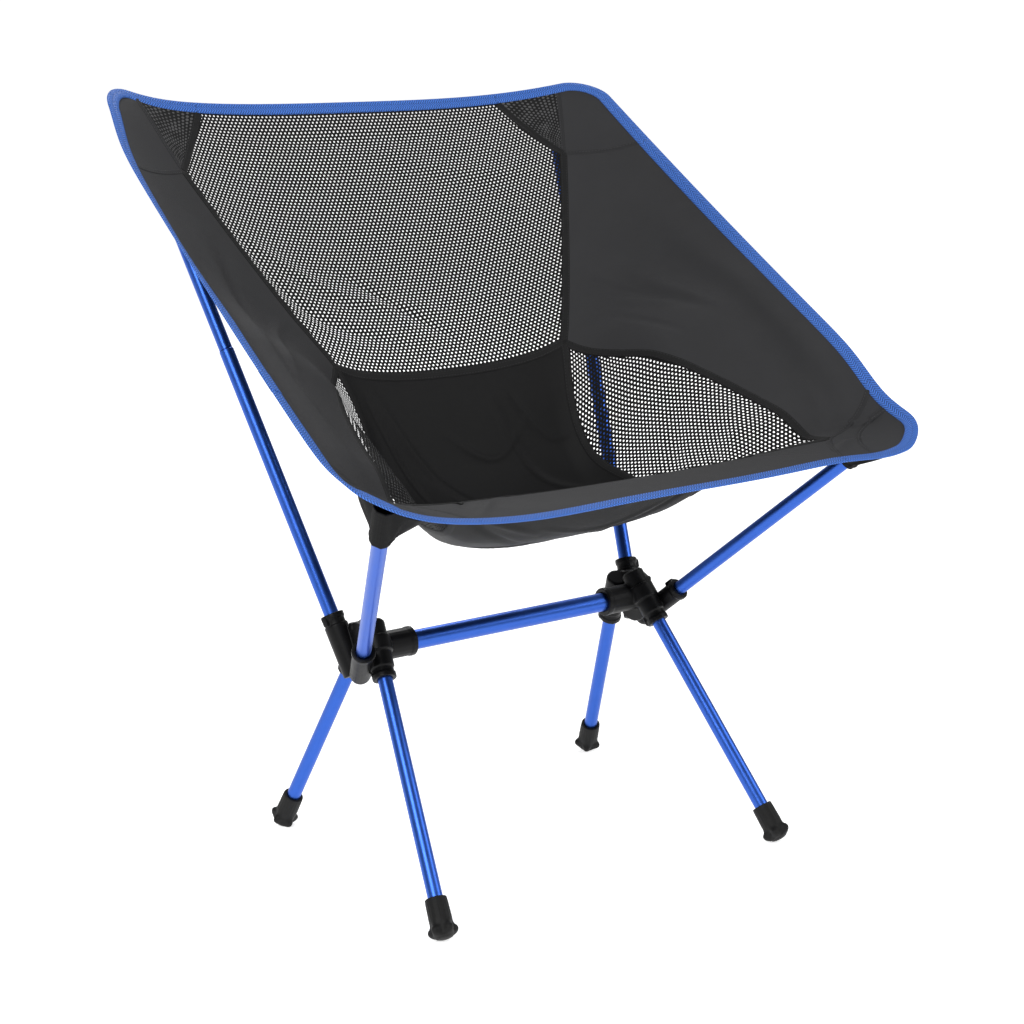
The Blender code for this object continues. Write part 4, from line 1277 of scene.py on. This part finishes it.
class CHAIR_OT_seams(Operator):
    """Makes the stitched bands over the sling's seams"""

    bl_idname = "chair.seams"
    bl_label = "Seams"

    def execute(self, context):
        read_settings(context.scene)
        for name, end, count in (("seat_back", SEAT_CORNER, 80), ("front", FRONT_JUNCTION, 120)):
            line = curve((np.array(end) * (-1, 1), end), count)
            self.add(f"seam_{name}", line, SEAM_WIDTH)
        for side, name in SIDES:
            lines = (
                ("seat_side", curve(SEAT_SEAM, 90)),
                ("side", curve(SIDE_SEAM, 110)),
                ("back", curve(BACK_SEAM, 70)),
                ("net_patch", curve((REAR_JUNCTION, (REAR_PATCH_U, 0.99)), 40)),
            )
            for label, line in lines:
                self.add(f"seam_{label}_{name}", line * (side, 1), SEAM_WIDTH * 0.9)
        return {"FINISHED"}

    def add(self, name, line, width):
        seam = seam_piece(name, line, width, SEAM_HEIGHT, "seam")
        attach(seam, ROOT)


class CHAIR_OT_binding(Operator):
    """Makes the four fixed runs of the blue edge tape, and the lap where its ends meet"""

    bl_idname = "chair.binding"
    bl_label = "Edge tape"

    def execute(self, context):
        read_settings(context.scene)
        front, side_start = FRONT_PATCH_K
        side_end, top = REAR_PATCH_K
        take(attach(tape_piece("tape_front", -front, front, 160), ROOT), "binding_tape", "binding_front")
        take(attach(tape_piece("tape_top", top, 10 - top, 160), ROOT), "binding_tape", "binding_top")
        for side, name in SIDES:
            first, last = (side_start, side_end) if side > 0 else (10 - side_end, 10 - side_start)
            tape = tape_piece(f"tape_side_{name}", first, last, 180)
            take(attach(tape, ROOT), "binding_tape", f"binding_side_{name}")
        lap = tape_piece("tape_lap", *TAPE_LAP, 16, swell=LAP_SWELL)
        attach(lap, ROOT)
        return {"FINISHED"}


class CHAIR_OT_corners(Operator):
    """Makes the corner patches, their tape and the pockets that hold the tube tips"""

    bl_idname = "chair.corners"
    bl_label = "Corners and pockets"

    def execute(self, context):
        read_settings(context.scene)
        for side, name in SIDES:
            for label in ("front", "rear"):
                Corner(label, side, name).make()
        return {"FINISHED"}


class Corner:
    """One corner of the sling: its patch, tape, seams and pocket, and at the rear the doubled net beside it.
    """

    def __init__(self, label, side, name):
        self.label, self.side, self.name = label, side, name
        self.front = label == "front"
        self.body = f"{label}_corner_{name}"
        self.junction = FRONT_JUNCTION if self.front else REAR_JUNCTION
        self.stations = FRONT_PATCH_K if self.front else REAR_PATCH_K
        self.line = Line("arm" if self.front else "pole", side)
        self.tip = ARM_LENGTH_OUT if self.front else POLE_LENGTH_OUT
        self.start, self.end = self.stretch()

    def stretch(self):
        """Two points towards the tube's tip.

        The first lies a share of the way to the tip from the straight line between the two places
        where the corner meets the sling's edge; the second is the tip itself.
        """
        end = np.array(self.line.at(self.tip))
        first, last = (taut(edge_point(k) * (self.side, 1)) for k in self.stations)
        along = unit(last - first)
        foot = first + ((end - first) @ along) * along
        return foot + STRETCH_START * (end - foot), end

    def give(self, piece, slot_name, *nodes):
        """Bakes a piece's transform into its mesh, and hides its CAD nodes if any."""
        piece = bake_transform(piece)
        if nodes:
            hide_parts(*nodes)

    def make(self):
        """Every piece of the corner, in order."""
        label, name = self.label, self.name
        if not self.front:
            self.net_patch()
        last = self.stations[1] if self.front else NET_PATCH_K
        grid = self.patch_grid(self.stations[0], last, round(self.stations[0]) + 0.5)
        patch = sheet_piece(f"{label}_corner_cloth_{name}", mirrored(grid, self.side), "side",
                            SETTINGS.fabric.thickness)
        self.give(patch, "side_polyester", f"{label}_patch_{name}")
        tape = tape_piece(f"tape_{label}_corner_{name}", *self.tape_run(), 110)
        self.give(tape, "binding_tape", f"{label}_binding_{name}")
        self.seams()
        self.pocket()

    def tape_run(self):
        """The outline's two stations that the corner's tape runs between."""
        first, last = self.stations
        if self.side > 0:
            return first, last
        return (-last, -first) if self.front else (10 - last, 10 - first)

    def patch_grid(self, first, last, middle):
        """The patch's grid: its edge in two halves, and straight lines to the seams' junction."""
        near = edge_run(first, middle, 30)
        far = edge_run(middle, last, 30)[::-1]
        south, west = curve((self.junction, near[0]), 30), curve((self.junction, far[0]), 30)
        return filled(south, far, west, near)

    def net_patch(self):
        """The doubled net beside the rear corner: a fan from the junction, without its point."""
        edge = edge_run(NET_PATCH_K, self.stations[1], 30)
        share = np.linspace(0, 1, 30)[:, None, None]
        grid = (np.array(self.junction) + share * (edge[None] - np.array(self.junction)))[2:]
        patch = sheet_piece(f"rear_net_patch_{self.name}", mirrored(grid.swapaxes(0, 1), self.side),
                            "net_patch", NET_PATCH_THICKNESS)
        self.give(patch, "mesh_fabric")

    def seams(self):
        """The seams from the junction to the edge, and at the front the curved one across the ear."""
        first, last = self.stations
        lines = {
            "side": curve((self.junction, edge_point(last if self.front else first)), 40),
            "front" if self.front else "net":
                curve((self.junction, edge_point(first if self.front else NET_PATCH_K)), 40),
        }
        if self.front:
            lines["ear"] = curve(EAR_SEAM, 50)
        for tag, line in lines.items():
            width = EAR_SEAM_WIDTH if tag == "ear" else CORNER_SEAM_WIDTH
            seam = seam_piece(f"seam_{self.label}_{tag}_{self.name}", line * (self.side, 1), width,
                              CORNER_SEAM_HEIGHT, "side_seam")
            self.give(seam, "side_polyester")

    def pocket(self):
        """The pocket, sewn on where the fabric lies nearest to the tube's tip."""
        guess = np.array((0.88 * self.side, 0.08 if self.front else 0.96))
        foot = nearest_uv(self.line.at(self.tip), guess)
        seed = 1.3 * self.side + len(self.label)
        piece = pocket_piece(f"{self.label}_pouch_{self.name}", self.line, self.tip, self.label, foot, seed)
        self.give(piece, "side_polyester", f"{self.label}_pocket_{self.name}")


class CHAIR_PT_panel(Panel):
    """Lists the chair's operators and settings in the sidebar."""

    bl_idname = "CHAIR_PT_panel"
    bl_label = "Camp chair"
    bl_space_type = "VIEW_3D"
    bl_region_type = "UI"
    bl_category = "Chair"

    def draw(self, context):
        for group in (context.scene.chair_fabric, context.scene.chair_metal, context.scene.chair_stage):
            box = self.layout.box()
            for key in group.__annotations__:
                box.prop(group, key)
        for operator in OPERATORS:
            self.layout.operator(operator.bl_idname)


OPERATORS = (
    CHAIR_OT_stage, CHAIR_OT_tubes, CHAIR_OT_hubs, CHAIR_OT_feet, CHAIR_OT_inner_parts,
    CHAIR_OT_panels, CHAIR_OT_nets, CHAIR_OT_seams, CHAIR_OT_binding, CHAIR_OT_corners,
)
GROUPS = (
    ("chair_fabric", CHAIR_PG_fabric), ("chair_metal", CHAIR_PG_metal), ("chair_stage", CHAIR_PG_stage),
)


def register():
    for name, group in GROUPS:
        bpy.utils.register_class(group)
        setattr(bpy.types.Scene, name, PointerProperty(type=group))
    for operator in OPERATORS:
        bpy.utils.register_class(operator)
    bpy.utils.register_class(CHAIR_PT_panel)


def unregister():
    bpy.utils.unregister_class(CHAIR_PT_panel)
    for operator in reversed(OPERATORS):
        bpy.utils.unregister_class(operator)
    for name, group in reversed(GROUPS):
        delattr(bpy.types.Scene, name)
        bpy.utils.unregister_class(group)


def main():
    register()
    for operator in OPERATORS:
        area, verb = operator.bl_idname.split(".")
        getattr(getattr(bpy.ops, area), verb)()


if __name__ == "__main__":
    main()
